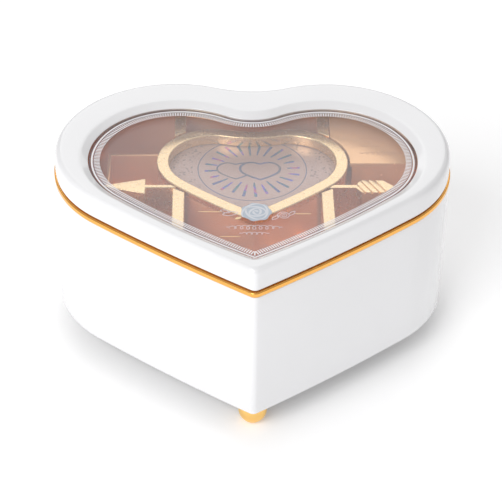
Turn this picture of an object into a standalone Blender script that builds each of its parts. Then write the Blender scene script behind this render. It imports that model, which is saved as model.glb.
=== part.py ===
"""Heart-shaped wind-up music box: lacquered case, glazed lid, gilt tray and 18-note movement.

The heart's lobe centres lie on y = 0 of the assembly's own frame, its tip points to -Y and the
lid's hinges stand behind the lobes. An empty shifts the whole box so that the world origin is
under the middle of its bounding box, on the surface that the feet stand on.
"""

import math
from dataclasses import dataclass, replace

import bpy
import bmesh
from mathutils import Matrix, Vector

MM = 0.001

# --- Driving dimensions (metres) -------------------------------------------------------------
GAP = 0.3 * MM                  # air kept between pieces that rest on each other

HEART_HALF_WIDTH = 90.0 * MM    # outside of the case at its widest
LOBE_RADIUS = 54.0 * MM
HEART_TIP = 95.0 * MM           # from the lobes' centre line to the case's sharp tip
SIDE_RADIUS = 900.0 * MM        # slow curve of each flank
CLEFT_RADIUS = 55.0 * MM
TIP_FILLET = 3.0 * MM

FOOT_RADIUS = 6.5 * MM
FOOT_FLAT = 2.6 * MM            # radius of the flat that each ball stands on
FOOT_NECK = 3.0 * MM
FOOT_NECK_HEIGHT = 0.777 * MM   # from the ball to the base
FRONT_FOOT_SETBACK = 12.5 * MM   # from the case's tip to the middle of the front foot
LOBE_FOOT_INSET = 12.0 * MM     # from the case's outside to the middle of a rear foot
LOBE_FOOT_ANGLE = math.radians(50.0)
CASE_HEIGHT = 68.0 * MM         # base underside to seam
CASE_WALL = 5.0 * MM
SEAT_WALL = 3.2 * MM            # wall left outside the two rebates
BASE_THICKNESS = 3.0 * MM
TRIM_HEIGHT = 2.4 * MM
TRIM_DEPTH = 1.8 * MM           # how deep the band is let into the wall
TRIM_PROUD = 0.6 * MM

SEAM_GAP = 0.8 * MM             # dark line between trim and lid
LID_HEIGHT = 11.2 * MM
LID_FRAME_WIDTH = 15.5 * MM     # at the lid's widest point
LID_SKIRT = 4.2 * MM            # thickness of the lid's outer skirt
LID_TOP_THICKNESS = 6.2 * MM
LID_ROUNDING = 4.0 * MM
LID_BEVEL_WIDTH = 3.8 * MM
LID_BEVEL_DROP = 3.0 * MM
WINDOW_THICKNESS = 2.0 * MM
WINDOW_REBATE = 2.0 * MM        # how far the glass reaches under the frame
WINDOW_SETBACK = 7.5 * MM       # from the case's lobe centres forward to the window's
WINDOW_LOBE_INSET = 13.0 * MM   # by which the window's lobes are smaller than the case's
WINDOW_TIP_INSET = 11.5 * MM    # between the two sharp tips
WINDOW_SIDE_RADIUS = 400.0 * MM
WINDOW_CLEFT_RADIUS = 24.0 * MM
WINDOW_TIP_FILLET = 2.0 * MM

HINGE_LENGTH = 16.0 * MM
HINGE_LEAF = 0.9 * MM           # leaf thickness
HINGE_LEAF_HEIGHT = 4.5 * MM    # from the knuckle to the leaf's far edge
KNUCKLE_RADIUS = 2.3 * MM
HINGE_BORE = 1.25 * MM
HINGE_PIN = 0.9 * MM

TRAY_DEPTH = 30.0 * MM          # seam to tray floor
TRAY_WALL = 1.4 * MM
TRAY_INSET = 11.0 * MM          # inner face of the tray's outer wall, at the flange
TRAY_DRAFT = 1.5 * MM
RING_RISE = 0.5 * MM            # ring top above the seam
RING_HALF_WIDTH = 44.0 * MM
RING_LOBE_RADIUS = 26.6 * MM
RING_TIP = 47.0 * MM
RING_SIDE_RADIUS = 260.0 * MM
RING_CLEFT_RADIUS = 45.0 * MM
RING_CLEFT_GAP = 19.43 * MM     # from the ring's cleft to the case's
RING_WIDTH = 5.6 * MM
RING_THICKNESS = 3.0 * MM
WELL_DEPTH = 5.0 * MM           # ring top to mirror
MIRROR_THICKNESS = 2.0 * MM
DIVIDER_INSET = 10.5 * MM       # from the ring's widest point in to a divider's middle
DIVIDER_WIDTH = 5.5 * MM
ARROW_SETBACK = 20.5 * MM       # from the ring's lobe centres forward to the arrow
ARROW_SHAFT = 2.2 * MM
ARROW_HEAD_WIDTH = 11.6 * MM
ARROW_HEAD_GAP = 4.5 * MM       # from the ring's widest point to the head's base
ARROW_TIP_GAP = 4.1 * MM        # from the tray wall to the head's tip
FLETCH_GAP = 9.6 * MM           # from the tray wall to the feathers' end
FLETCH_WIDTH = 9.4 * MM
FLETCH_SLANT = 5.0 * MM
PLATE_SETBACK = 2.0 * MM        # from the ring's lobe centres forward to the plate's edge
PLATE_THICKNESS = 2.0 * MM
PARTITION_INSET = 6.59 * MM     # from the tray wall beside the arrow to the partition
PARTITION_REACH = 13.6 * MM     # from the ring's lobe centres back to the partition's bar
PARTITION_WALL = 1.6 * MM
PARTITION_DROP = 6.0 * MM       # its rim below the ring's top
PARTITION_FRONT = 1.87 * MM     # from the arrow's head to the partition's front end

BED_THICKNESS = 3.0 * MM
BARREL_RADIUS = 11.0 * MM
BARREL_HEIGHT = 12.0 * MM
BARREL_WALL = 1.1 * MM
ARBOR_RADIUS = 2.4 * MM
CROWN_TEETH = 32
PINION_TEETH = 8
CROWN_PITCH_RADIUS = 13.0 * MM
CROWN_FACE = 2.4 * MM           # radial length of a crown tooth
CROWN_THICKNESS = 1.2 * MM
AXIS_HEIGHT = 8.6 * MM          # cylinder axis above the bedplate
CYLINDER_RADIUS = 6.5 * MM
CYLINDER_LENGTH = 16.0 * MM
CYLINDER_ARBOR = 1.0 * MM
BEARING_THICKNESS = 1.6 * MM
BEARING_WIDTH = 5.0 * MM
WHEEL_TEETH = 30
IDLER_TEETH = 8
SPUR_MODULE = 0.5 * MM
SPUR_THICKNESS = 1.0 * MM
WORM_WHEEL_TEETH = 20
WORM_WHEEL_RADIUS = 4.6 * MM    # pitch radius
WORM_WHEEL_THICKNESS = 0.8 * MM
WORM_ROOT = 0.7 * MM
WORM_PITCH_RADIUS = 1.3 * MM
WORM_TIP = 1.7 * MM
WORM_TURNS = 4
FAN_RADIUS = 4.0 * MM
FAN_HEIGHT = 4.5 * MM
NOTES = 18
COMB_THICKNESS = 1.0 * MM
COMB_TOOTH = 9.0 * MM
COMB_BASE = 6.5 * MM
COMB_CLEARANCE = 0.9 * MM       # tooth tips to the cylinder's bare surface
KEY_WIDTH = 17.0 * MM
KEY_DROP = 10.0 * MM            # how far the key hangs under the base
SCREW_RADIUS = 1.2 * MM
SCREW_CLEARANCE = 0.3 * MM
STOP_ROD_RADIUS = 0.8 * MM
STOP_ROD_INSET = 7.4 * MM       # from the case's outside to the rod
LEVER_WIDTH = 3.0 * MM
LEVER_THICKNESS = 2.0 * MM
LEVER_PIVOT_Y = 31.0 * MM
LEVER_PIN = 0.9 * MM
STOP_TRAVEL = 3.0 * MM          # how far the rod rises as the lid opens
GUIDE_LOW_SHARE = 0.37          # the guide's arm, in the room left over the raised lever
GUIDE_HIGH_SHARE = 0.666

TOWER_LEAN = 0.6 * MM           # the tower's foot stands this far outside the ring's outline
LEDGE_SETBACK = 0.4 * MM        # from the ring's inner edge out to the mirror's ledge
DIVIDER_EASE = 0.2 * MM         # further gap between a divider and the tower
LID_LIP = 0.6 * MM              # upright edge round the window
HINGE_INLAY = 0.2 * MM          # how far a knuckle stands inside its leaf's face
SCREW_HEAD_RADIUS = 2.4 * MM
SCREW_HEAD_HEIGHT = 1.5 * MM
BASE_SCREW_HEAD = 2.6 * MM
POST_RADIUS = 4.2 * MM
POST_HEIGHT = 14.0 * MM
POST_BLEND = 0.8 * MM           # how far a post runs into the wall
FOOT_BORE_BOTTOM = 4.0 * MM
MOVEMENT_X = -12.0 * MM         # barrel, arbor and key
FRAME_ARM = 1.2 * MM
FRAME_HALF_ARM = 1.8 * MM
IDLER_ARBOR = 0.5 * MM
RUNNING_GAP = 0.6 * MM          # between parts of the train, along their axis
BED_LEFT = 15.5 * MM            # from the barrel's axis to the bedplate's left edge
BED_RIGHT = 4.0 * MM            # from the governor's axis to its right edge
BED_FRONT = 26.0 * MM
BED_BACK = 24.0 * MM
BED_CORNER = 4.0 * MM
BED_SCREW_INSET = 4.5 * MM

# --- Levels and positions worked out from them -----------------------------------------------
BALL_CENTRE = math.sqrt(FOOT_RADIUS ** 2 - FOOT_FLAT ** 2)
FOOT_HEIGHT = BALL_CENTRE + math.sqrt(FOOT_RADIUS ** 2 - FOOT_NECK ** 2) + FOOT_NECK_HEIGHT
SEAM_Z = FOOT_HEIGHT + CASE_HEIGHT
BASE_TOP = FOOT_HEIGHT + BASE_THICKNESS
LID_BOTTOM = SEAM_Z + SEAM_GAP
LID_TOP = LID_BOTTOM + LID_HEIGHT
WINDOW_TOP = LID_TOP - LID_BEVEL_DROP
RING_TOP = SEAM_Z + RING_RISE
TRAY_FLOOR = SEAM_Z - TRAY_DEPTH
MIRROR_TOP = RING_TOP - WELL_DEPTH - GAP
MIRROR_BOTTOM = MIRROR_TOP - MIRROR_THICKNESS
BED_BOTTOM = BASE_TOP + GAP
BED_TOP = BED_BOTTOM + BED_THICKNESS
CYLINDER_Z = BED_TOP + AXIS_HEIGHT
DIVIDER_X = RING_HALF_WIDTH - DIVIDER_INSET
HINGE_X = HEART_HALF_WIDTH - LOBE_RADIUS
HINGE_Y = LOBE_RADIUS + TRIM_PROUD + GAP + KNUCKLE_RADIUS - HINGE_INLAY
HINGE_Z = SEAM_Z + SEAM_GAP / 2

SMOOTH_ANGLE = math.radians(35.0)


@dataclass(frozen=True)
class Heart:
    """Heart outline of tangent arcs, symmetrical about x = 0, tip towards -Y."""

    half_width: float
    lobe_r: float
    tip: float
    side_r: float
    cleft_r: float
    tip_r: float
    y: float = 0.0

    LOBE_STEPS = 16
    SIDE_STEPS = 6
    CLEFT_STEPS = 3
    TIP_STEPS = 2
    SMALLEST_TIP = 0.25 * MM

    @property
    def lobe_x(self):
        return self.half_width - self.lobe_r

    @property
    def cleft_y(self):
        """How far the cleft lies behind the lobe centres."""
        return math.sqrt((self.lobe_r + self.cleft_r) ** 2 - self.lobe_x ** 2) - self.cleft_r

    def side_centre(self):
        """Centre of the right flank's arc: it passes the tip and touches the lobe from outside."""
        lobe = Vector((self.lobe_x, 0.0))
        tip = Vector((0.0, -self.tip))
        across = tip - lobe
        near = self.side_r - self.lobe_r
        along = (near ** 2 - self.side_r ** 2 + across.length_squared) / (2 * across.length)
        up = math.sqrt(near ** 2 - along ** 2)
        direction = across.normalized()
        return lobe + direction * along + Vector((direction.y, -direction.x)) * up

    def outline(self, inset=0.0):
        """Points of the outline moved inwards by inset, counter-clockwise from the cleft."""
        lobe = Vector((self.lobe_x, 0.0))
        side = self.side_centre()
        cleft = Vector((0.0, self.cleft_y + self.cleft_r))
        tip_r = max(self.tip_r - inset, self.SMALLEST_TIP)
        reach = self.side_r - inset - tip_r
        tip = Vector((0.0, side.y - math.sqrt(reach ** 2 - side.x ** 2)))

        to_cleft = cleft - lobe
        to_lobe = lobe - side
        to_tip = tip - side
        cleft_end = math.atan2(-to_cleft.y, -to_cleft.x)
        lobe_start = math.atan2(to_cleft.y, to_cleft.x)
        side_start = math.atan2(to_lobe.y, to_lobe.x)
        side_end = math.atan2(to_tip.y, to_tip.x)

        right = []
        right += arc(cleft, self.cleft_r + inset, -math.pi / 2, cleft_end, self.CLEFT_STEPS)
        right += arc(lobe, self.lobe_r - inset, lobe_start, side_start, self.LOBE_STEPS)
        right += arc(side, self.side_r - inset, side_start, side_end, self.SIDE_STEPS)
        right += arc(tip, tip_r, side_end, -math.pi / 2, self.TIP_STEPS)
        right.append(tip + Vector((0.0, -tip_r)))
        left = [Vector((-p.x, p.y)) for p in reversed(right[1:-1])]
        loop = right + left
        return [Vector((p.x, p.y + self.y)) for p in reversed(loop)]


def arc(centre, radius, start, end, steps):
    """Points along an arc, without its last one, which the next arc starts with."""
    points = []
    for i in range(steps):
        angle = start + (end - start) * i / steps
        points.append(centre + Vector((math.cos(angle), math.sin(angle))) * radius)
    return points


CASE_HEART = Heart(HEART_HALF_WIDTH, LOBE_RADIUS, HEART_TIP, SIDE_RADIUS, CLEFT_RADIUS, TIP_FILLET)
WINDOW_HEART = Heart(HEART_HALF_WIDTH - LID_FRAME_WIDTH, LOBE_RADIUS - WINDOW_LOBE_INSET,
                     HEART_TIP - WINDOW_TIP_INSET - WINDOW_SETBACK, WINDOW_SIDE_RADIUS,
                     WINDOW_CLEFT_RADIUS, WINDOW_TIP_FILLET, -WINDOW_SETBACK)
RING_SHAPE = Heart(RING_HALF_WIDTH, RING_LOBE_RADIUS, RING_TIP, RING_SIDE_RADIUS,
                   RING_CLEFT_RADIUS, TIP_FILLET / 2)
RING_CENTRE_Y = CASE_HEART.cleft_y - RING_CLEFT_GAP - RING_SHAPE.cleft_y
RING_HEART = replace(RING_SHAPE, y=RING_CENTRE_Y)
ARROW_Y = RING_CENTRE_Y - ARROW_SETBACK
PLATE_FRONT_Y = RING_CENTRE_Y - PLATE_SETBACK
PARTITION_Y = RING_CENTRE_Y + PARTITION_REACH

FRONT_Y = min(p.y for p in CASE_HEART.outline(-TRIM_PROUD))
BACK_Y = HINGE_Y + KNUCKLE_RADIUS
ASSEMBLY_Y = -(FRONT_Y + BACK_Y) / 2


# --- Scene helpers ---------------------------------------------------------------------------
def clear_scene():
    for obj in list(bpy.data.objects):
        bpy.data.objects.remove(obj, do_unlink=True)


def material(name, colour, roughness, metallic=0.0):
    """One Principled material."""
    mat = bpy.data.materials.new(name)
    mat.use_nodes = True
    shader = mat.node_tree.nodes["Principled BSDF"]
    shader.inputs["Base Color"].default_value = (*colour, 1.0)
    shader.inputs["Roughness"].default_value = roughness
    shader.inputs["Metallic"].default_value = metallic
    mat.diffuse_color = (*colour, 1.0)
    return mat


def empty(name, location, parent=None):
    """An empty on a joint's axis, or at the assembly's own origin."""
    obj = bpy.data.objects.new(name, None)
    bpy.context.collection.objects.link(obj)
    obj.location = location
    obj.parent = parent
    obj.empty_display_size = 5 * MM
    return obj


def add(name, bm, mat, parent, location=(0.0, 0.0, 0.0), smooth=True):
    """Turn a bmesh into a named object with outward faces."""
    bmesh.ops.remove_doubles(bm, verts=bm.verts, dist=0.001 * MM)
    bmesh.ops.recalc_face_normals(bm, faces=bm.faces)
    mesh = bpy.data.meshes.new(name)
    bm.to_mesh(mesh)
    bm.free()
    mesh.materials.append(mat)
    if smooth:
        mesh.shade_smooth()
        mesh.set_sharp_from_angle(angle=SMOOTH_ANGLE)
    obj = bpy.data.objects.new(name, mesh)
    bpy.context.collection.objects.link(obj)
    obj.parent = parent
    obj.location = location
    return obj


def boolean(target, operation, cutter):
    """Join or cut one object by another, which is left out of the build."""
    cutter.hide_render = True
    cutter.display_type = "WIRE"
    modifier = target.modifiers.new(cutter.name, "BOOLEAN")
    modifier.operation = operation
    modifier.solver = "EXACT"
    modifier.object = cutter
    return modifier


def cut(target, bm, parent, location=(0.0, 0.0, 0.0)):
    """Cut a shape out of a piece."""
    cutter = add(f"{target.name}_cut", bm, target.data.materials[0], parent, location)
    return boolean(target, "DIFFERENCE", cutter)


def join(target, bm, parent, location=(0.0, 0.0, 0.0)):
    """Make a shape one body with a piece."""
    extra = add(f"{target.name}_join", bm, target.data.materials[0], parent, location)
    return boolean(target, "UNION", extra)


# --- Shape helpers ---------------------------------------------------------------------------
def loft(loops, ring=False):
    """Skin equal loops of points. A ring closes on its first loop; otherwise the ends are capped."""
    bm = bmesh.new()
    rows = [[bm.verts.new(point) for point in loop] for loop in loops]
    count = len(rows[0])
    last = len(rows) if ring else len(rows) - 1
    for i in range(last):
        lower, upper = rows[i], rows[(i + 1) % len(rows)]
        for j in range(count):
            k = (j + 1) % count
            bm.faces.new((lower[j], lower[k], upper[k], upper[j]))
    if not ring:
        bm.faces.new(rows[0])
        bm.faces.new(rows[-1])
    return bm


def at(points, z):
    return [(p.x, p.y, z) for p in points]


def heart_ring(heart, profile):
    """Sweep a closed profile of (inset, z) corners round a heart."""
    return loft([at(heart.outline(inset), z) for inset, z in profile], ring=True)


def heart_plate(heart, inset, bottom, top):
    outline = heart.outline(inset)
    return loft([at(outline, bottom), at(outline, top)])


def prism(corners, bottom, top):
    """Upright prism on a flat outline of (x, y) corners."""
    points = [Vector(corner) for corner in corners]
    return loft([at(points, bottom), at(points, top)])


def circle(radius, steps, x=0.0, y=0.0):
    points = []
    for i in range(steps):
        angle = 2 * math.pi * i / steps
        points.append(Vector((x + radius * math.cos(angle), y + radius * math.sin(angle))))
    return points


def turned(profile, steps, closed=False):
    """Turn (radius, z) corners round Z. A closed profile makes a ring with a bore."""
    return loft([at(circle(radius, steps), z) for radius, z in profile], ring=closed)


def cylinder(radius, bottom, top, steps=20):
    return turned([(radius, bottom), (radius, top)], steps)


def box(x0, x1, y0, y1, z0, z1):
    return prism([(x0, y0), (x1, y0), (x1, y1), (x0, y1)], z0, z1)


def merged(*shapes):
    """Several separate closed shapes in one bmesh, for cutters."""
    whole = bmesh.new()
    for shape in shapes:
        mesh = bpy.data.meshes.new("shape")
        shape.to_mesh(mesh)
        shape.free()
        whole.from_mesh(mesh)
        bpy.data.meshes.remove(mesh)
    return whole


def moved(bm, x=0.0, y=0.0, z=0.0):
    bmesh.ops.translate(bm, verts=bm.verts, vec=(x, y, z))
    return bm


def along_x(bm):
    """Lay a shape turned round Z along +X."""
    bmesh.ops.rotate(bm, verts=bm.verts, cent=(0, 0, 0), matrix=Matrix.Rotation(math.pi / 2, 3, "Y"))
    return bm


def tooth_radii(teeth, root, tip, root_share, tip_share):
    """Radius and angle of each corner of straight-flanked teeth; the first tooth is centred on 0."""
    pitch = 2 * math.pi / teeth
    corners = []
    for i in range(teeth):
        middle = i * pitch
        corners.append((root, middle - root_share * pitch / 2))
        corners.append((tip, middle - tip_share * pitch / 2))
        corners.append((tip, middle + tip_share * pitch / 2))
        corners.append((root, middle + root_share * pitch / 2))
    return corners


def gear(teeth, root, tip, bore, thickness, root_share=0.56, tip_share=0.24, phase=0.0):
    """Spur gear round Z with a round bore, from z = 0 up to its thickness."""
    corners = tooth_radii(teeth, root, tip, root_share, tip_share)
    outer = []
    inner = []
    for radius, angle in corners:
        direction = Vector((math.cos(angle + phase), math.sin(angle + phase)))
        outer.append(direction * radius)
        inner.append(direction * bore)
    return loft([at(outer, 0.0), at(outer, thickness), at(inner, thickness), at(inner, 0.0)], ring=True)


def screw(length, head_radius, head_height, shank=SCREW_RADIUS):
    """Round-headed screw, point up: the head's top is at z = 0 and the shank rises from it."""
    profile = [
        (head_radius * 0.7, 0.0),
        (head_radius, head_height * 0.45),
        (head_radius, head_height),
        (shank, head_height),
        (shank, head_height + length),
    ]
    return turned(profile, 14)


# --- Materials -------------------------------------------------------------------------------
def make_materials():
    return {
        "lacquer": material("white_lacquer", (0.90, 0.90, 0.91), 0.18),
        "gilt": material("gilt", (0.95, 0.68, 0.30), 0.25, 1.0),
        "brass": material("brass", (0.80, 0.58, 0.28), 0.30, 1.0),
        "steel": material("steel", (0.62, 0.63, 0.65), 0.30, 1.0),
        "zinc": material("zinc", (0.55, 0.56, 0.58), 0.45, 1.0),
        "glass": material("window_acrylic", (0.86, 0.84, 0.86), 0.08),
        "mirror": material("mirror", (0.70, 0.62, 0.60), 0.10, 1.0),
        "board": material("base_board", (0.16, 0.14, 0.13), 0.70),
        "spring": material("spring_steel", (0.30, 0.33, 0.40), 0.35, 1.0),
        "nylon": material("white_nylon", (0.88, 0.87, 0.83), 0.45),
    }


# --- Places that several pieces share ----------------------------------------------------------
CROWN_MODULE = 2 * CROWN_PITCH_RADIUS / CROWN_TEETH
PINION_RADIUS = CROWN_MODULE * PINION_TEETH / 2
CROWN_PITCH_Z = AXIS_HEIGHT - PINION_RADIUS
PINION_START = CROWN_PITCH_RADIUS - CROWN_FACE / 2 + 0.1 * MM
BEARING_START = CROWN_PITCH_RADIUS + CROWN_FACE / 2 + RUNNING_GAP
CYLINDER_START = BEARING_START + BEARING_THICKNESS + RUNNING_GAP
WHEEL_START = CYLINDER_START + CYLINDER_LENGTH + 0.5 * MM
FRAME_START = WHEEL_START + SPUR_THICKNESS + 0.5 * MM
WORM_WHEEL_START = FRAME_START + BEARING_THICKNESS + RUNNING_GAP
ARBOR_END = WORM_WHEEL_START - 0.3 * MM
IDLER_Y = SPUR_MODULE * (WHEEL_TEETH + IDLER_TEETH) / 2 + 0.1 * MM
WORM_X = WORM_WHEEL_START + WORM_WHEEL_THICKNESS / 2
WORM_Y = IDLER_Y + WORM_WHEEL_RADIUS + WORM_PITCH_RADIUS
WORM_LEAD = 2 * math.pi * WORM_WHEEL_RADIUS / WORM_WHEEL_TEETH
WORM_HALF = WORM_LEAD * WORM_TURNS / 2
FRAME_ARM_Z = AXIS_HEIGHT + WORM_HALF + RUNNING_GAP
FAN_Z = FRAME_ARM_Z + FRAME_ARM + 0.9 * MM

LEVER_X = MOVEMENT_X + WORM_X
LEVER_TOP = BED_TOP + FAN_Z - 0.4 * MM
LEVER_Z = LEVER_TOP - LEVER_THICKNESS / 2
LEVER_TIP_Y = WORM_Y + FRAME_HALF_ARM + 0.5 * MM
TRAY_CLEARANCE = TRAY_INSET + TRAY_DRAFT + GAP
TOWER_CLEARANCE = TOWER_LEAN + GAP


def outline_y(heart, inset, x, back):
    """Where the upright line at x crosses an outline, on its back or its front."""
    points = heart.outline(inset)
    found = []
    for a, b in zip(points, points[1:] + points[:1]):
        if (a.x - x) * (b.x - x) <= 0 and a.x != b.x:
            found.append(a.y + (b.y - a.y) * (x - a.x) / (b.x - a.x))
    return max(found) if back else min(found)


def outline_x(heart, inset, y):
    """Where the level line at y crosses the right side of an outline."""
    points = heart.outline(inset)
    found = []
    for a, b in zip(points, points[1:] + points[:1]):
        if (a.y - y) * (b.y - y) <= 0 and a.y != b.y:
            found.append(a.x + (b.x - a.x) * (y - a.y) / (b.y - a.y))
    return max(found)


ARROW_WALL_X = outline_x(CASE_HEART, TRAY_CLEARANCE, ARROW_Y)
ARROW_BASE_X = RING_HALF_WIDTH + ARROW_HEAD_GAP
ARROW_TIP_X = ARROW_WALL_X - ARROW_TIP_GAP
PARTITION_WALL_X = outline_x(CASE_HEART, TRAY_CLEARANCE, PARTITION_Y + PARTITION_WALL)
PARTITION_X = min(ARROW_WALL_X - PARTITION_INSET, PARTITION_WALL_X)
STOP_ROD_Y = outline_y(CASE_HEART, STOP_ROD_INSET, LEVER_X, back=True)
STOP_ROD_TOP = LID_TOP - LID_TOP_THICKNESS - GAP
SCREW_BORE = SCREW_RADIUS + SCREW_CLEARANCE
POST_INSET = CASE_WALL + POST_RADIUS - POST_BLEND
BASE_POSTS = {
    "left": (-(HEART_HALF_WIDTH - POST_INSET), 0.0),
    "right": (HEART_HALF_WIDTH - POST_INSET, 0.0),
    "cleft": (0.0, outline_y(CASE_HEART, POST_INSET, 0.0, back=True)),
}
LOBE_FOOT_REACH = LOBE_RADIUS - LOBE_FOOT_INSET
LOBE_FOOT_X = CASE_HEART.lobe_x + LOBE_FOOT_REACH * math.cos(LOBE_FOOT_ANGLE)
LOBE_FOOT_Y = LOBE_FOOT_REACH * math.sin(LOBE_FOOT_ANGLE)
FEET = {
    "front": (0.0, -HEART_TIP + FRONT_FOOT_SETBACK),
    "left": (-LOBE_FOOT_X, LOBE_FOOT_Y),
    "right": (LOBE_FOOT_X, LOBE_FOOT_Y),
}
BED_X0 = MOVEMENT_X - BED_LEFT
BED_X1 = LEVER_X + BED_RIGHT
BED_Y0 = -BED_FRONT
BED_Y1 = min(BED_BACK, BASE_POSTS["cleft"][1] - POST_RADIUS - GAP)
BED_SCREWS = [
    (BED_X0 + BED_SCREW_INSET, BED_Y1 - BED_SCREW_INSET - MM),
    (BED_X0 + BED_SCREW_INSET, BED_Y0 + BED_SCREW_INSET + MM),
    (BED_X1 - BED_SCREW_INSET, BED_Y0 + 2 * BED_CORNER),
]


def extrude_y(corners, y0, y1):
    """Prism along Y on (x, z) corners."""
    return loft([[(x, y, z) for x, z in corners] for y in (y0, y1)])


def back_from(joint):
    """Location that puts a piece drawn in the assembly's frame under a joint's empty."""
    return -joint.location


# --- Case ----------------------------------------------------------------------------------------
def build_case(root, mats):
    trim_bottom = SEAM_Z - TRIM_HEIGHT
    tongue_top = SEAM_Z - GAP
    tray_seat = tongue_top - TRAY_WALL - GAP
    case = add("case_body", heart_ring(CASE_HEART, [
        (0.0, FOOT_HEIGHT),
        (0.0, trim_bottom - GAP),
        (TRIM_DEPTH + GAP, trim_bottom - GAP),
        (TRIM_DEPTH + GAP, tongue_top),
        (SEAT_WALL, tongue_top),
        (SEAT_WALL, tray_seat),
        (CASE_WALL, tray_seat),
        (CASE_WALL, BASE_TOP + GAP),
        (SEAT_WALL, BASE_TOP + GAP),
        (SEAT_WALL, FOOT_HEIGHT),
    ]), mats["lacquer"], root)
    post_bottom = BASE_TOP + GAP
    posts = [moved(cylinder(POST_RADIUS, post_bottom, post_bottom + POST_HEIGHT), x, y)
             for x, y in BASE_POSTS.values()]
    join(case, merged(*posts), root)
    bores = [moved(cylinder(SCREW_BORE, FOOT_HEIGHT, post_bottom + POST_HEIGHT - 2 * MM), x, y)
             for x, y in BASE_POSTS.values()]
    cut(case, merged(*bores), root)

    trim = add("trim_band", heart_ring(CASE_HEART, [
        (TRIM_DEPTH, trim_bottom),
        (-TRIM_PROUD / 3, trim_bottom),
        (-TRIM_PROUD, trim_bottom + TRIM_PROUD),
        (-TRIM_PROUD, SEAM_Z - TRIM_PROUD),
        (-TRIM_PROUD / 3, SEAM_Z),
        (TRIM_DEPTH, SEAM_Z),
    ]), mats["gilt"], root)
    half = HINGE_LENGTH / 2 + 0.4 * MM
    notches = [box(x - half, x + half, LOBE_RADIUS - 0.1 * MM, BACK_Y, trim_bottom - MM, SEAM_Z + MM)
               for x in (-HINGE_X, HINGE_X)]
    cut(trim, merged(*notches), root)

    base = add("base_cover", heart_plate(CASE_HEART, SEAT_WALL + GAP, FOOT_HEIGHT, BASE_TOP),
               mats["board"], root)
    low = FOOT_HEIGHT - MM
    high = BASE_TOP + MM
    holes = [moved(cylinder(SCREW_BORE, low, high, 16), x, y)
             for x, y in [*BASE_POSTS.values(), *FEET.values(), *BED_SCREWS]]
    holes.append(moved(cylinder(ARBOR_RADIUS + 0.8 * MM, low, high, 24), MOVEMENT_X))
    slot_y = -44.0 * MM
    for i in range(5):
        x = (i - 2) * 8.0 * MM
        holes.append(box(x - 1.5 * MM, x + 1.5 * MM, slot_y - 8 * MM, slot_y + 8 * MM, low, high))
    cut(base, merged(*holes), root)

    for side, (x, y) in BASE_POSTS.items():
        base_screw = screw(BASE_THICKNESS + 10 * MM, BASE_SCREW_HEAD, SCREW_HEAD_HEIGHT)
        add(f"base_screw_{side}", base_screw, mats["steel"], root,
            (x, y, FOOT_HEIGHT - GAP - SCREW_HEAD_HEIGHT))

    for side, (x, y) in FEET.items():
        build_foot(side, x, y, root, mats)


def build_foot(side, x, y, root, mats):
    """A turned ball on a flat, drawn up against the base by a screw from inside the case."""
    start = math.atan2(-BALL_CENTRE, FOOT_FLAT)
    end = math.acos(FOOT_NECK / FOOT_RADIUS)
    profile = []
    for i in range(11):
        angle = start + (end - start) * i / 10
        profile.append((FOOT_RADIUS * math.cos(angle), BALL_CENTRE + FOOT_RADIUS * math.sin(angle)))
    top = FOOT_HEIGHT - GAP
    profile += [(FOOT_NECK, top), (SCREW_BORE, top), (SCREW_BORE, FOOT_BORE_BOTTOM)]
    add(f"foot_{side}", turned(profile, 24), mats["gilt"], root, (x, y, 0.0))
    foot_screw = screw(BASE_TOP + GAP - FOOT_BORE_BOTTOM - MM, SCREW_HEAD_RADIUS, SCREW_HEAD_HEIGHT)
    obj = add(f"foot_screw_{side}", foot_screw, mats["steel"], root,
              (x, y, BASE_TOP + GAP + SCREW_HEAD_HEIGHT))
    obj.rotation_euler = (math.pi, 0.0, 0.0)


# --- Lid -----------------------------------------------------------------------------------------
def build_lid(root, hinge, mats):
    underside = LID_TOP - LID_TOP_THICKNESS
    outside = [(0.0, LID_BOTTOM)]
    for i in range(5):
        angle = math.pi / 8 * i
        outside.append((LID_ROUNDING * (1 - math.cos(angle)),
                        LID_TOP - LID_ROUNDING * (1 - math.sin(angle))))
    lip = WINDOW_TOP + GAP
    opening = [
        (-LID_BEVEL_WIDTH, LID_TOP),
        (0.0, lip + LID_LIP),
        (0.0, lip),
        (-WINDOW_REBATE - GAP, lip),
        (-WINDOW_REBATE - GAP, underside),
    ]
    skirt = [
        (LID_SKIRT, underside),
        (LID_SKIRT, LID_BOTTOM),
    ]
    loops = [at(CASE_HEART.outline(inset), z) for inset, z in outside]
    loops += [at(WINDOW_HEART.outline(inset), z) for inset, z in opening]
    loops += [at(CASE_HEART.outline(inset), z) for inset, z in skirt]
    add("lid_frame", loft(loops, ring=True), mats["lacquer"], hinge, back_from(hinge))
    window = heart_plate(WINDOW_HEART, -WINDOW_REBATE, WINDOW_TOP - WINDOW_THICKNESS, WINDOW_TOP)
    add("lid_window", window, mats["glass"], hinge, back_from(hinge))
    for side, x in (("left", -HINGE_X), ("right", HINGE_X)):
        build_hinge(side, x, root, hinge, mats)


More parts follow.
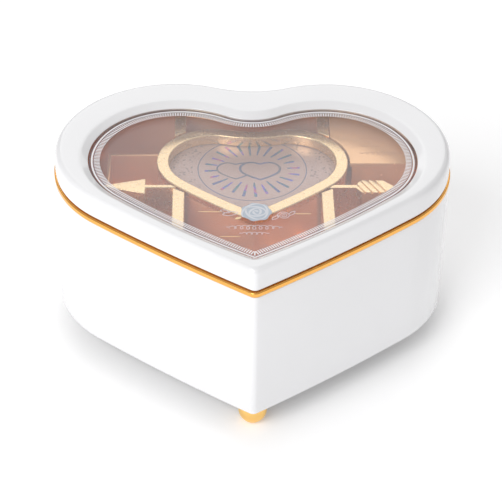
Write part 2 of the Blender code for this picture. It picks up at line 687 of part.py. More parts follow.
def build_hinge(side, x, root, hinge, mats):
    """Butt hinge drawn round its own pin: the case leaf has two knuckles, the lid leaf one."""
    plate_front = LOBE_RADIUS + GAP - HINGE_Y
    plate_back = plate_front + HINGE_LEAF
    half = HINGE_LENGTH / 2
    third = HINGE_LENGTH / 6
    clear = KNUCKLE_RADIUS - HINGE_INLAY
    inlay = 0.1 * MM
    outer = [(-half, -third - GAP / 2), (third + GAP / 2, half)]
    inner = [(-third + GAP / 2, third - GAP / 2)]
    for name, up, spans, parent in (("hinge_case_leaf", -1, outer, root),
                                    ("hinge_lid_leaf", 1, inner, hinge)):
        place = Vector((x, HINGE_Y, HINGE_Z)) if parent is root else Vector((x, 0.0, 0.0))
        low, high = sorted((up * clear, up * (clear + HINGE_LEAF_HEIGHT)))
        leaf = add(f"{name}_{side}", box(-half, half, plate_front, plate_back, low, high),
                   mats["brass"], parent, place)
        web_low, web_high = sorted((up * 0.3 * MM, up * (clear + 0.5 * MM)))
        webs = [box(a + inlay, b - inlay, plate_front + inlay, plate_back - inlay, web_low, web_high)
                for a, b in spans]
        join(leaf, merged(*webs), parent, place)
        knuckles = [moved(along_x(cylinder(KNUCKLE_RADIUS, 0.0, b - a)), a) for a, b in spans]
        join(leaf, merged(*knuckles), parent, place)
        bore = moved(along_x(cylinder(HINGE_BORE, 0.0, HINGE_LENGTH + 2 * MM, 16)), -half - MM)
        cut(leaf, bore, parent, place)
    head = 0.8 * MM
    pin = turned([
        (HINGE_BORE + 0.3 * MM, -half - GAP - head),
        (HINGE_BORE + 0.3 * MM, -half - GAP),
        (HINGE_PIN, -half - GAP),
        (HINGE_PIN, half + GAP),
        (HINGE_BORE + 0.3 * MM, half + GAP),
        (HINGE_BORE + 0.3 * MM, half + GAP + head),
    ], 16)
    add(f"hinge_pin_{side}", along_x(pin), mats["steel"], root, (x, HINGE_Y, HINGE_Z))


# --- Tray ----------------------------------------------------------------------------------------
def build_tray(root, mats):
    build_tray_pan(root, mats)
    ring = [
        (0.0, RING_TOP - RING_THICKNESS),
        (0.0, RING_TOP),
        (RING_WIDTH, RING_TOP),
        (RING_WIDTH, RING_TOP - WELL_DEPTH),
        (TRAY_WALL * 2, RING_TOP - WELL_DEPTH),
        (TRAY_WALL * 2, RING_TOP - RING_THICKNESS),
    ]
    add("heart_ring", heart_ring(RING_HEART, ring), mats["gilt"], root)
    mirror = heart_plate(RING_HEART, TRAY_WALL * 2, MIRROR_BOTTOM, MIRROR_TOP)
    add("heart_mirror", mirror, mats["mirror"], root)
    build_dividers(root, mats)
    build_arrow(root, mats)
    build_message_plate(root, mats)
    build_partition(root, mats)


def build_tray_pan(root, mats):
    """One moulding: flange, outer wall, floor and the hollow tower that carries the heart ring."""
    flange_top = SEAM_Z - GAP
    shoulder = RING_TOP - RING_THICKNESS - GAP
    ledge = MIRROR_BOTTOM - GAP
    wall_out = TRAY_INSET - TRAY_WALL
    case_loops = [
        (SEAT_WALL + GAP, flange_top - TRAY_WALL),
        (SEAT_WALL + GAP, flange_top),
        (TRAY_INSET, flange_top),
        (TRAY_INSET + TRAY_DRAFT, TRAY_FLOOR),
    ]
    tower_loops = [
        (-TOWER_LEAN, TRAY_FLOOR),
        (TOWER_LEAN, shoulder),
        (TOWER_LEAN + TRAY_WALL, shoulder),
        (TOWER_LEAN + TRAY_WALL, ledge),
        (RING_WIDTH - LEDGE_SETBACK, ledge),
        (RING_WIDTH - LEDGE_SETBACK, ledge - TRAY_WALL),
        (TOWER_LEAN + TRAY_WALL, ledge - TRAY_WALL),
        (TRAY_WALL - TOWER_LEAN, TRAY_FLOOR - TRAY_WALL),
    ]
    under_loops = [
        (wall_out + TRAY_DRAFT, TRAY_FLOOR - TRAY_WALL),
        (wall_out, flange_top - TRAY_WALL),
    ]
    loops = [at(CASE_HEART.outline(inset), z) for inset, z in case_loops]
    loops += [at(RING_HEART.outline(inset), z) for inset, z in tower_loops]
    loops += [at(CASE_HEART.outline(inset), z) for inset, z in under_loops]
    tray = add("tray_pan", loft(loops, ring=True), mats["gilt"], root)
    hole = cylinder(STOP_ROD_RADIUS + GAP, flange_top - 2 * TRAY_WALL, flange_top + MM, 16)
    cut(tray, moved(hole, LEVER_X, STOP_ROD_Y), root)


def build_dividers(root, mats):
    """Four straight walls between the heart's tower and the tray's outer wall."""
    ring_gap = -(TOWER_CLEARANCE + DIVIDER_EASE)
    shaft_edge = ARROW_Y - ARROW_SHAFT / 2 - GAP
    for side, sign in (("left", -1), ("right", 1)):
        xs = [sign * (DIVIDER_X - DIVIDER_WIDTH / 2), sign * (DIVIDER_X + DIVIDER_WIDTH / 2)]
        for place, back in (("front", False), ("rear", True)):
            inner = [outline_y(RING_HEART, ring_gap, x, back) for x in xs]
            if not back:
                inner = [min(y, shaft_edge) for y in inner]
            outer = [outline_y(CASE_HEART, TRAY_CLEARANCE, x, back) for x in xs]
            corners = [(xs[0], inner[0]), (xs[1], inner[1]), (xs[1], outer[1]), (xs[0], outer[0])]
            add(f"divider_{place}_{side}", prism(corners, TRAY_FLOOR + GAP, RING_TOP),
                mats["gilt"], root, smooth=False)


def build_arrow(root, mats):
    """The arrow that seems to pierce the heart: its head on the left, its feathers on the right."""
    low = ARROW_Y - ARROW_SHAFT / 2
    high = ARROW_Y + ARROW_SHAFT / 2
    near_low = outline_x(RING_HEART, -TOWER_CLEARANCE, low)
    near_high = outline_x(RING_HEART, -TOWER_CLEARANCE, high)
    half = ARROW_HEAD_WIDTH / 2
    head = [
        (-near_high, high),
        (-ARROW_BASE_X, high),
        (-ARROW_BASE_X, ARROW_Y + half),
        (-ARROW_TIP_X, ARROW_Y),
        (-ARROW_BASE_X, ARROW_Y - half),
        (-ARROW_BASE_X, low),
        (-near_low, low),
    ]
    add("arrow_head", prism(head, TRAY_FLOOR + GAP, RING_TOP), mats["gilt"], root, smooth=False)
    half = FLETCH_WIDTH / 2
    start = RING_HALF_WIDTH
    end = ARROW_WALL_X - FLETCH_GAP
    notch = start + FLETCH_SLANT / 2
    tail = [
        (near_low, low),
        (notch, low),
        (start + FLETCH_SLANT, ARROW_Y - half),
        (end - FLETCH_SLANT, ARROW_Y - half),
        (end, ARROW_Y),
        (end - FLETCH_SLANT, ARROW_Y + half),
        (start + FLETCH_SLANT, ARROW_Y + half),
        (notch, high),
        (near_high, high),
    ]
    add("arrow_tail", prism(tail, TRAY_FLOOR + GAP, RING_TOP), mats["gilt"], root, smooth=False)


def build_message_plate(root, mats):
    """Flat cover over the back right of the tray, with a skirt down its straight front edge."""
    left = DIVIDER_X + DIVIDER_WIDTH / 2 + GAP
    wall = CASE_HEART.outline(TRAY_CLEARANCE)
    ring = RING_HEART.outline(-TOWER_CLEARANCE)
    along_wall = [p for p in wall if p.x > left + MM and p.y > PLATE_FRONT_Y + MM]
    along_ring = [p for p in ring if p.x > left + MM and p.y > PLATE_FRONT_Y + MM]
    along_ring.reverse()
    wall_x = outline_x(CASE_HEART, TRAY_CLEARANCE, PLATE_FRONT_Y)
    ring_x = outline_x(RING_HEART, -TOWER_CLEARANCE, PLATE_FRONT_Y)
    corners = [(ring_x, PLATE_FRONT_Y), (wall_x, PLATE_FRONT_Y), *along_wall]
    corners.append((left, outline_y(CASE_HEART, TRAY_CLEARANCE, left, back=True)))
    corners.append((left, outline_y(RING_HEART, -TOWER_CLEARANCE, left, back=True)))
    corners += along_ring
    bottom = RING_TOP - PLATE_THICKNESS
    plate = add("message_plate", prism(corners, bottom, RING_TOP), mats["gilt"], root, smooth=False)
    skirt = box(ring_x + MM, wall_x - MM, PLATE_FRONT_Y, PLATE_FRONT_Y + TRAY_WALL,
                TRAY_FLOOR + GAP, RING_TOP - PLATE_THICKNESS / 2)
    join(plate, moved(skirt, y=0.2 * MM), root)


def build_partition(root, mats):
    """Low L-shaped wall that frames the left compartment."""
    far = -PARTITION_X
    outer_y = PARTITION_Y + PARTITION_WALL / 2
    inner_y = PARTITION_Y - PARTITION_WALL / 2
    beside_head = min((ARROW_TIP_X - PARTITION_X + PARTITION_WALL) / (ARROW_TIP_X - ARROW_BASE_X), 1.0)
    front = ARROW_Y + ARROW_HEAD_WIDTH / 2 * beside_head + PARTITION_FRONT
    corners = [
        (far, front),
        (far + PARTITION_WALL, front),
        (far + PARTITION_WALL, inner_y),
        (-outline_x(RING_HEART, -TOWER_CLEARANCE, inner_y), inner_y),
        (-outline_x(RING_HEART, -TOWER_CLEARANCE, outer_y), outer_y),
        (far, outer_y),
    ]
    add("left_partition", prism(corners, TRAY_FLOOR + GAP, RING_TOP - PARTITION_DROP),
        mats["gilt"], root, smooth=False)


# --- Movement ------------------------------------------------------------------------------------
def build_bedplate(root, mats):
    c = BED_CORNER
    corners = [
        (BED_X0 + c, BED_Y0), (BED_X1 - c, BED_Y0), (BED_X1, BED_Y0 + c), (BED_X1, BED_Y1 - c),
        (BED_X1 - c, BED_Y1), (BED_X0 + c, BED_Y1), (BED_X0, BED_Y1 - c), (BED_X0, BED_Y0 + c),
    ]
    bed = add("bedplate", prism(corners, BED_BOTTOM, BED_TOP), mats["zinc"], root)
    holes = [moved(cylinder(SCREW_BORE, BED_BOTTOM - MM, BED_TOP + MM, 14), x, y)
             for x, y in BED_SCREWS]
    holes.append(moved(cylinder(ARBOR_RADIUS + 0.5 * MM, BED_BOTTOM - MM, BED_TOP + MM, 24), MOVEMENT_X))
    holes.append(moved(cylinder(WORM_ROOT + GAP, BED_TOP - MM, BED_TOP + MM, 12), LEVER_X, WORM_Y))
    cut(bed, merged(*holes), root)
    length = GAP + BASE_THICKNESS + BED_THICKNESS + MM
    for number, (x, y) in enumerate(BED_SCREWS, 1):
        add(f"movement_screw_{number}", screw(length, SCREW_HEAD_RADIUS, SCREW_HEAD_HEIGHT),
            mats["steel"], root, (x, y, FOOT_HEIGHT - GAP - SCREW_HEAD_HEIGHT))


def build_barrel(barrel, key, mats):
    """Spring barrel with its crown wheel, and the arbor and key that wind it."""
    bottom = 0.6 * MM
    hole = ARBOR_RADIUS + 0.4 * MM
    inside = BARREL_RADIUS - BARREL_WALL
    top = bottom + BARREL_HEIGHT
    add("spring_barrel", turned([
        (hole, bottom), (BARREL_RADIUS, bottom), (BARREL_RADIUS, top),
        (inside, top), (inside, bottom + BARREL_WALL), (hole, bottom + BARREL_WALL),
    ], 36, closed=True), mats["brass"], barrel)
    cover_bottom = top - BARREL_WALL - 0.2 * MM
    add("barrel_cover", cylinder(inside - GAP, cover_bottom, top - 0.2 * MM, 36), mats["brass"], barrel)
    add("mainspring", spiral(ARBOR_RADIUS + 0.9 * MM, inside - 0.5 * MM, 3.5, 0.5 * MM,
                             bottom + BARREL_WALL + 0.5 * MM, cover_bottom - 0.5 * MM),
        mats["spring"], barrel)
    add("crown_wheel", crown_gear(), mats["brass"], barrel)

    boss_top = FOOT_HEIGHT - BED_TOP - 0.5 * MM
    boss_bottom = boss_top - 3.5 * MM
    add("winding_arbor", turned([
        (ARBOR_RADIUS * 0.6, boss_bottom + MM), (ARBOR_RADIUS * 0.6, boss_top + 0.2 * MM),
        (ARBOR_RADIUS, boss_top + 0.2 * MM), (ARBOR_RADIUS, cover_bottom - 0.5 * MM),
    ], 20), mats["steel"], key)
    bore = ARBOR_RADIUS * 0.6 + GAP
    winding_key = add("winding_key", turned([
        (bore, boss_bottom), (3.6 * MM, boss_bottom), (3.6 * MM, boss_top), (bore, boss_top),
    ], 20, closed=True), mats["brass"], key)
    join(winding_key, key_wing(boss_bottom), key)


def key_wing(boss_bottom):
    """The key's flat bow: a plate with rounded ends."""
    low = FOOT_HEIGHT - KEY_DROP - BED_TOP
    radius = (boss_bottom + 0.8 * MM - low) / 2
    middle = low + radius
    reach = KEY_WIDTH / 2 - radius
    corners = []
    for centre, start in ((reach, -math.pi / 2), (-reach, math.pi / 2)):
        for i in range(7):
            angle = start + math.pi * i / 6
            corners.append((centre + radius * math.cos(angle), middle + radius * math.sin(angle)))
    return extrude_y(corners, -0.8 * MM, 0.8 * MM)


def spiral(inner, outer, turns, thickness, bottom, top):
    """Flat spring strip wound from its inner to its outer radius."""
    steps = int(turns * 18)
    loops = []
    for i in range(steps + 1):
        angle = 2 * math.pi * turns * i / steps
        radius = inner + (outer - inner) * i / steps
        direction = Vector((math.cos(angle), math.sin(angle)))
        near = direction * (radius - thickness / 2)
        far = direction * (radius + thickness / 2)
        loops.append([(near.x, near.y, bottom), (far.x, far.y, bottom),
                      (far.x, far.y, top), (near.x, near.y, top)])
    return loft(loops)


def crown_gear():
    """Ring with teeth standing on its upper face; one of them is centred on +X."""
    root = CROWN_PITCH_Z - 0.9 * MM
    tip = CROWN_PITCH_Z + 0.55 * MM
    inner = BARREL_RADIUS + GAP
    outer = CROWN_PITCH_RADIUS + CROWN_FACE / 2
    sides = []
    for level, angle in tooth_radii(CROWN_TEETH, root, tip, 0.50, 0.22):
        sides.append((Vector((math.cos(angle), math.sin(angle))), level))
    bottom = root - CROWN_THICKNESS
    return loft([
        [(*(d * outer), bottom) for d, _ in sides],
        [(*(d * outer), level) for d, level in sides],
        [(*(d * inner), level) for d, level in sides],
        [(*(d * inner), bottom) for d, _ in sides],
    ], ring=True)


def build_cylinder(axis, mats):
    """Pinned cylinder, its arbor, the pinion that the crown wheel drives and the drive wheel."""
    start = PINION_START - 0.6 * MM
    add("cylinder_arbor", moved(along_x(cylinder(CYLINDER_ARBOR, 0.0, ARBOR_END - start, 16)), start),
        mats["steel"], axis)
    bore = CYLINDER_ARBOR + GAP
    pinion = gear(PINION_TEETH, PINION_RADIUS - 0.85 * MM, PINION_RADIUS + 0.6 * MM, bore,
                  CROWN_FACE - 0.2 * MM, 0.60, 0.20, math.pi / PINION_TEETH)
    add("cylinder_pinion", moved(along_x(pinion), PINION_START), mats["brass"], axis)
    drum = turned([
        (bore, 0.0), (CYLINDER_RADIUS, 0.0), (CYLINDER_RADIUS, CYLINDER_LENGTH), (bore, CYLINDER_LENGTH),
    ], 40, closed=True)
    add("cylinder", moved(along_x(drum), CYLINDER_START), mats["brass"], axis)
    wheel_radius = SPUR_MODULE * WHEEL_TEETH / 2
    wheel = gear(WHEEL_TEETH, wheel_radius - 0.5 * MM, wheel_radius + 0.35 * MM, bore, SPUR_THICKNESS)
    add("cylinder_wheel", moved(along_x(wheel), WHEEL_START), mats["brass"], axis)


def build_idler(axis, mats):
    """Second arbor of the governor train: a pinion on the cylinder's wheel and the worm's wheel."""
    start = WHEEL_START - 3.0 * MM
    end = WORM_WHEEL_START + WORM_WHEEL_THICKNESS + 0.8 * MM
    arbor = add("idler_arbor", moved(along_x(cylinder(IDLER_ARBOR, 0.0, end - start, 12)), start),
                mats["steel"], axis)
    radius = SPUR_MODULE * IDLER_TEETH / 2
    pinion = gear(IDLER_TEETH, radius - 0.55 * MM, radius + 0.3 * MM, IDLER_ARBOR / 2, SPUR_THICKNESS,
                  0.56, 0.20)
    join(arbor, moved(along_x(pinion), WHEEL_START), axis)
    bore = IDLER_ARBOR + 0.25 * MM
    wheel = gear(WORM_WHEEL_TEETH, WORM_WHEEL_RADIUS - 0.6 * MM, WORM_WHEEL_RADIUS + 0.45 * MM,
                 bore, WORM_WHEEL_THICKNESS, 0.50, 0.20)
    add("worm_wheel", moved(along_x(wheel), WORM_WHEEL_START), mats["nylon"], axis)


def worm():
    """Right-handed screw round Z with plain ends; beside the wheel its thread leaves a gap at z = 0."""
    steps = 16
    crest = 0.30 * MM
    foot = 0.62 * MM
    away_from_wheel = math.pi / 2
    loops = []
    for i in range(steps * (WORM_TURNS - 1) + 1):
        turn = i / steps - (WORM_TURNS - 1) / 2
        angle = away_from_wheel + 2 * math.pi * turn
        z = WORM_LEAD * turn
        out = Vector((math.cos(angle), math.sin(angle)))
        low = out * (WORM_ROOT - 0.25 * MM)
        high = out * WORM_TIP
        loops.append([(low.x, low.y, z - foot / 2), (high.x, high.y, z - crest / 2),
                      (high.x, high.y, z + crest / 2), (low.x, low.y, z + foot / 2)])
    return loft(loops)


def build_governor(axis, mats):
    """Worm that the train spins, and the air brake on top of it."""
    low = -AXIS_HEIGHT - 0.6 * MM
    fan_low = FAN_Z - AXIS_HEIGHT
    shaft = cylinder(WORM_ROOT, low, fan_low + FAN_HEIGHT, 16)
    spindle = add("governor_worm", shaft, mats["steel"], axis)
    join(spindle, worm(), axis)
    bore = WORM_ROOT + 0.25 * MM
    fan = add("governor_fan", turned([
        (bore, fan_low), (bore + 0.8 * MM, fan_low),
        (bore + 0.8 * MM, fan_low + FAN_HEIGHT), (bore, fan_low + FAN_HEIGHT),
    ], 16, closed=True), mats["nylon"], axis)
    blade = 0.3 * MM
    inner = bore + 0.5 * MM
    blades = [box(inner, FAN_RADIUS, -blade, blade, fan_low + 0.2 * MM, fan_low + FAN_HEIGHT - 0.2 * MM),
              box(-FAN_RADIUS, -inner, -blade, blade, fan_low + 0.2 * MM, fan_low + FAN_HEIGHT - 0.2 * MM)]
    join(fan, merged(*blades), axis)


def build_frames(root, mats):
    """Bearings for the cylinder and the train, and the comb on its support."""
    foot = BED_TOP + GAP
    half = BEARING_WIDTH / 2
    cylinder_bore = CYLINDER_ARBOR + GAP
    idler_bore = IDLER_ARBOR + GAP

    def bore_along_x(radius, x0, x1, y):
        bore = along_x(cylinder(radius, 0.0, x1 - x0 + 2 * MM, 14))
        return moved(bore, MOVEMENT_X + x0 - MM, y, CYLINDER_Z)

    x0, x1 = BEARING_START, BEARING_START + BEARING_THICKNESS
    left = add("cylinder_bearing", box(MOVEMENT_X + x0, MOVEMENT_X + x1, -half, half,
                                       foot, CYLINDER_Z + half), mats["zinc"], root)
    cut(left, bore_along_x(cylinder_bore, x0, x1, 0.0), root)

    x0 = WHEEL_START - 2.6 * MM
    x1 = x0 + BEARING_THICKNESS
    post = add("idler_bearing", box(MOVEMENT_X + x0, MOVEMENT_X + x1,
                                    IDLER_Y - 1.4 * MM, IDLER_Y + 1.4 * MM,
                                    foot, CYLINDER_Z + 1.6 * MM), mats["zinc"], root)
    cut(post, bore_along_x(idler_bore, x0, x1, IDLER_Y), root)

    x0, x1 = FRAME_START, FRAME_START + BEARING_THICKNESS
    arm_low = BED_TOP + FRAME_ARM_Z
    arm_high = arm_low + FRAME_ARM
    back = WORM_Y + FRAME_HALF_ARM
    plate_back = IDLER_Y + 2 * MM
    frame = add("governor_frame", box(MOVEMENT_X + x0, MOVEMENT_X + x1, -half, plate_back, foot, arm_high),
                mats["zinc"], root)
    inner = MOVEMENT_X + x0 + 0.5 * MM
    elbow = MOVEMENT_X + x1 - 0.1 * MM
    beside_worm = WORM_Y - WORM_TIP
    outer = LEVER_X + FRAME_HALF_ARM
    arm = prism([(inner, plate_back - 3 * MM), (elbow, plate_back - 3 * MM), (elbow, beside_worm),
                 (outer, beside_worm), (outer, back), (inner, back)], arm_low, arm_high - 0.2 * MM)
    join(frame, arm, root)
    shaft_hole = cylinder(WORM_ROOT + GAP, arm_low - MM, arm_high + MM, 14)
    cut(frame, merged(
        bore_along_x(cylinder_bore, x0, x1, 0.0),
        bore_along_x(idler_bore, x0, x1, IDLER_Y),
        moved(shaft_hole, LEVER_X, WORM_Y),
    ), root)
    build_comb(root, mats)


def build_comb(root, mats):
    """Steel comb, one tooth for each note, screwed to its support in front of the cylinder."""
    tips = -(CYLINDER_RADIUS + COMB_CLEARANCE)
    roots = tips - COMB_TOOTH
    back = roots - COMB_BASE
    x0 = MOVEMENT_X + CYLINDER_START
    pitch = CYLINDER_LENGTH / NOTES
    slot = pitch * 0.35
    corners = [(x0, back), (x0 + CYLINDER_LENGTH, back)]
    for i in reversed(range(NOTES)):
        left = x0 + i * pitch + slot / 2
        right = x0 + (i + 1) * pitch - slot / 2
        corners += [(right, roots), (right, tips), (left, tips), (left, roots)]
    corners[2] = (x0 + CYLINDER_LENGTH, roots)
    corners[3] = (x0 + CYLINDER_LENGTH, tips)
    corners[-2] = (x0, tips)
    corners[-1] = (x0, roots)
    half = COMB_THICKNESS / 2
    comb = add("comb", prism(corners, CYLINDER_Z - half, CYLINDER_Z + half), mats["steel"], root,
               smooth=False)
    middle = (roots + back) / 2
    xs = [x0 + CYLINDER_LENGTH * 0.25, x0 + CYLINDER_LENGTH * 0.75]
    support_top = CYLINDER_Z - half - GAP
    support = add("comb_support", box(x0, x0 + CYLINDER_LENGTH, back, roots - MM,
                                      BED_TOP + GAP, support_top), mats["zinc"], root)
    holes = [moved(cylinder(SCREW_BORE, CYLINDER_Z - 3 * MM, CYLINDER_Z + MM, 14), x, middle)
             for x in xs]
    cut(comb, merged(*holes), root)
    bores = [moved(cylinder(SCREW_BORE, BED_TOP + 2 * MM, CYLINDER_Z, 14), x, middle) for x in xs]
    cut(support, merged(*bores), root)
    head = 1.2 * MM
    for number, x in enumerate(xs, 1):
        comb_screw = screw(5.0 * MM, 2.2 * MM, head)
        obj = add(f"comb_screw_{number}", comb_screw, mats["steel"], root,
                  (x, middle, CYLINDER_Z + half + GAP + head))
        obj.rotation_euler = (math.pi, 0.0, 0.0)


# --- Stop work -----------------------------------------------------------------------------------
def build_stop(root, rod, lever, mats):
    """Rod that the lid holds down, and the lever by which it brakes the governor's fan."""
    length = STOP_ROD_TOP - LEVER_TOP - GAP
    add("stop_rod", turned([
        (STOP_ROD_RADIUS, 0.0), (STOP_ROD_RADIUS, length - 0.6 * MM), (STOP_ROD_RADIUS * 0.5, length),
    ], 14), mats["steel"], rod)

    half = LEVER_WIDTH / 2
    rise = LEVER_THICKNESS / 2
    bar = add("stop_lever", box(-half, half, LEVER_TIP_Y - LEVER_PIVOT_Y,
                                STOP_ROD_Y + half - LEVER_PIVOT_Y, -rise, rise), mats["steel"], lever)
    join(bar, along_x(moved(cylinder(2.2 * MM, -half + 0.1 * MM, half - 0.1 * MM, 18))), lever)
    cut(bar, along_x(cylinder(LEVER_PIN + GAP, -half - MM, half + MM, 14)), lever)

    cheek = LEVER_X + half + GAP
    post = add("lever_post", box(cheek, cheek + 2.5 * MM, LEVER_PIVOT_Y - 2.5 * MM, LEVER_PIVOT_Y + 2.5 * MM,
                                 BASE_TOP + GAP, LEVER_Z + 2.5 * MM), mats["zinc"], root)
    stud = moved(along_x(cylinder(LEVER_PIN, 0.0, LEVER_WIDTH + 2.5 * MM, 14)),
                 LEVER_X - half - 0.5 * MM, LEVER_PIVOT_Y, LEVER_Z)
    join(post, stud, root)

    raised = LEVER_TOP + STOP_TRAVEL
    room = TRAY_FLOOR - TRAY_WALL - raised
    arm_low = raised + room * GUIDE_LOW_SHARE
    arm_high = raised + room * GUIDE_HIGH_SHARE
    left = LEVER_X - 2.5 * MM
    side = LEVER_X + half + MM
    right = side + 3 * MM
    corners = [(side, BASE_TOP + GAP), (right, BASE_TOP + GAP), (right, arm_high),
               (left, arm_high), (left, arm_low), (side, arm_low)]
    wall_y = min(outline_y(CASE_HEART, CASE_WALL + GAP, x, back=True) for x in (left, right))
    guide = add("rod_guide", extrude_y(corners, STOP_ROD_Y - 3 * MM, wall_y), mats["zinc"], root)
    hole = cylinder(STOP_ROD_RADIUS + GAP, arm_low - MM, arm_high + MM, 14)
    cut(guide, moved(hole, LEVER_X, STOP_ROD_Y), root)


def main():
    clear_scene()
    mats = make_materials()
    root = empty("music_box", (0.0, ASSEMBLY_Y, 0.0))
    hinge = empty("lid_hinge", (0.0, HINGE_Y, HINGE_Z), root)
    barrel = empty("barrel_axis", (MOVEMENT_X, 0.0, BED_TOP), root)
    key = empty("key_axis", (MOVEMENT_X, 0.0, BED_TOP), root)
    drum = empty("cylinder_axis", (MOVEMENT_X, 0.0, CYLINDER_Z), root)
    idler = empty("idler_axis", (MOVEMENT_X, IDLER_Y, CYLINDER_Z), root)
    governor = empty("governor_axis", (LEVER_X, WORM_Y, CYLINDER_Z), root)
    rod = empty("stop_rod_slide", (LEVER_X, STOP_ROD_Y, LEVER_TOP + GAP), root)
    lever = empty("stop_lever_pivot", (LEVER_X, LEVER_PIVOT_Y, LEVER_Z), root)
    build_case(root, mats)
    build_lid(root, hinge, mats)
    build_tray(root, mats)
    build_bedplate(root, mats)
    build_barrel(barrel, key, mats)
    build_cylinder(drum, mats)
    build_idler(idler, mats)
    build_governor(governor, mats)
    build_frames(root, mats)
    build_stop(root, rod, lever, mats)


main()
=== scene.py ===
"""Heart-shaped wind-up music box: finishes, print, hardware and a plain studio.

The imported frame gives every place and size. Each sub-assembly is a class that models its own
pieces, dresses them and rides them on the frame's bodies.
"""

import logging
import math
from dataclasses import dataclass
from enum import Enum
from typing import Any, Iterable, Optional, Sequence

import bmesh
import bpy
from mathutils import Matrix, Vector, noise

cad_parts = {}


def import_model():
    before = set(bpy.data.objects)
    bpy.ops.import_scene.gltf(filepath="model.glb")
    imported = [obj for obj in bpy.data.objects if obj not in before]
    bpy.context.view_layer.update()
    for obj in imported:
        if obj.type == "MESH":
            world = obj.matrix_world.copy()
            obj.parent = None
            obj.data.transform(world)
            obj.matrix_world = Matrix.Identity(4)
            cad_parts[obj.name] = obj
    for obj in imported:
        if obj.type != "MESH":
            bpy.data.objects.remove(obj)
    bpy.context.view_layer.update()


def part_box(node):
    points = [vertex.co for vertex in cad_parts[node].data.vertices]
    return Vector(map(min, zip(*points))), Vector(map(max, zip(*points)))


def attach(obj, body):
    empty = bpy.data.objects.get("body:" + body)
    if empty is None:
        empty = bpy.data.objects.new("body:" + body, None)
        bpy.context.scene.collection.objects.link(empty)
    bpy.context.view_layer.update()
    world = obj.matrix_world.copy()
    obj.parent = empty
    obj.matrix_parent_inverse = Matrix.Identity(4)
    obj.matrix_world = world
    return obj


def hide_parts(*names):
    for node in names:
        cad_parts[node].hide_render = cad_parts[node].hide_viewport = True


LOG = logging.getLogger("music_box")
MM = 0.001
TAU = 2 * math.pi

Loop = list[Vector]


class Body(Enum):
    """The frame's moving groups."""

    CASE = "case"
    LID = "lid"
    WINDER = "winder"
    CYLINDER = "cylinder"


class Slot(Enum):
    """Material slots of the record."""

    LACQUER = "lacquer"
    GILT_METAL = "gilt_metal"
    GILT_PLASTIC = "gilt_plastic"
    WINDOW = "window"
    MIRROR = "mirror"
    BRASS = "brass"
    STEEL = "steel"


# --- Shader graphs -----------------------------------------------------------------------------
class Value:
    """A number on a shader socket; arithmetic on it adds Math nodes."""

    def __init__(self, graph: "Graph", socket: bpy.types.NodeSocket) -> None:
        """Wrap one output socket of a graph."""
        self.graph = graph
        self.socket = socket

    def _math(self, operation: str, a: Any, b: Any) -> "Value":
        """One Math node on two operands."""
        return self.graph.value("ShaderNodeMath", {"operation": operation}, {0: a, 1: b})

    def __add__(self, other: Any) -> "Value":
        """Sum."""
        return self._math("ADD", self, other)

    __radd__ = __add__

    def __sub__(self, other: Any) -> "Value":
        """Difference."""
        return self._math("SUBTRACT", self, other)

    def __rsub__(self, other: Any) -> "Value":
        """Difference from a number."""
        return self._math("SUBTRACT", other, self)

    def __mul__(self, other: Any) -> "Value":
        """Product."""
        return self._math("MULTIPLY", self, other)

    __rmul__ = __mul__

    def above(self, limit: float) -> "Value":
        """1 where the value is over the limit."""
        return self._math("GREATER_THAN", self, limit)

    def ramp(self, start: float, end: float) -> "Value":
        """Smooth step from 0 at start to 1 at end."""
        return self.graph.value(
            "ShaderNodeMapRange",
            {"interpolation_type": "SMOOTHSTEP"},
            {"Value": self, "From Min": start, "From Max": end},
        )


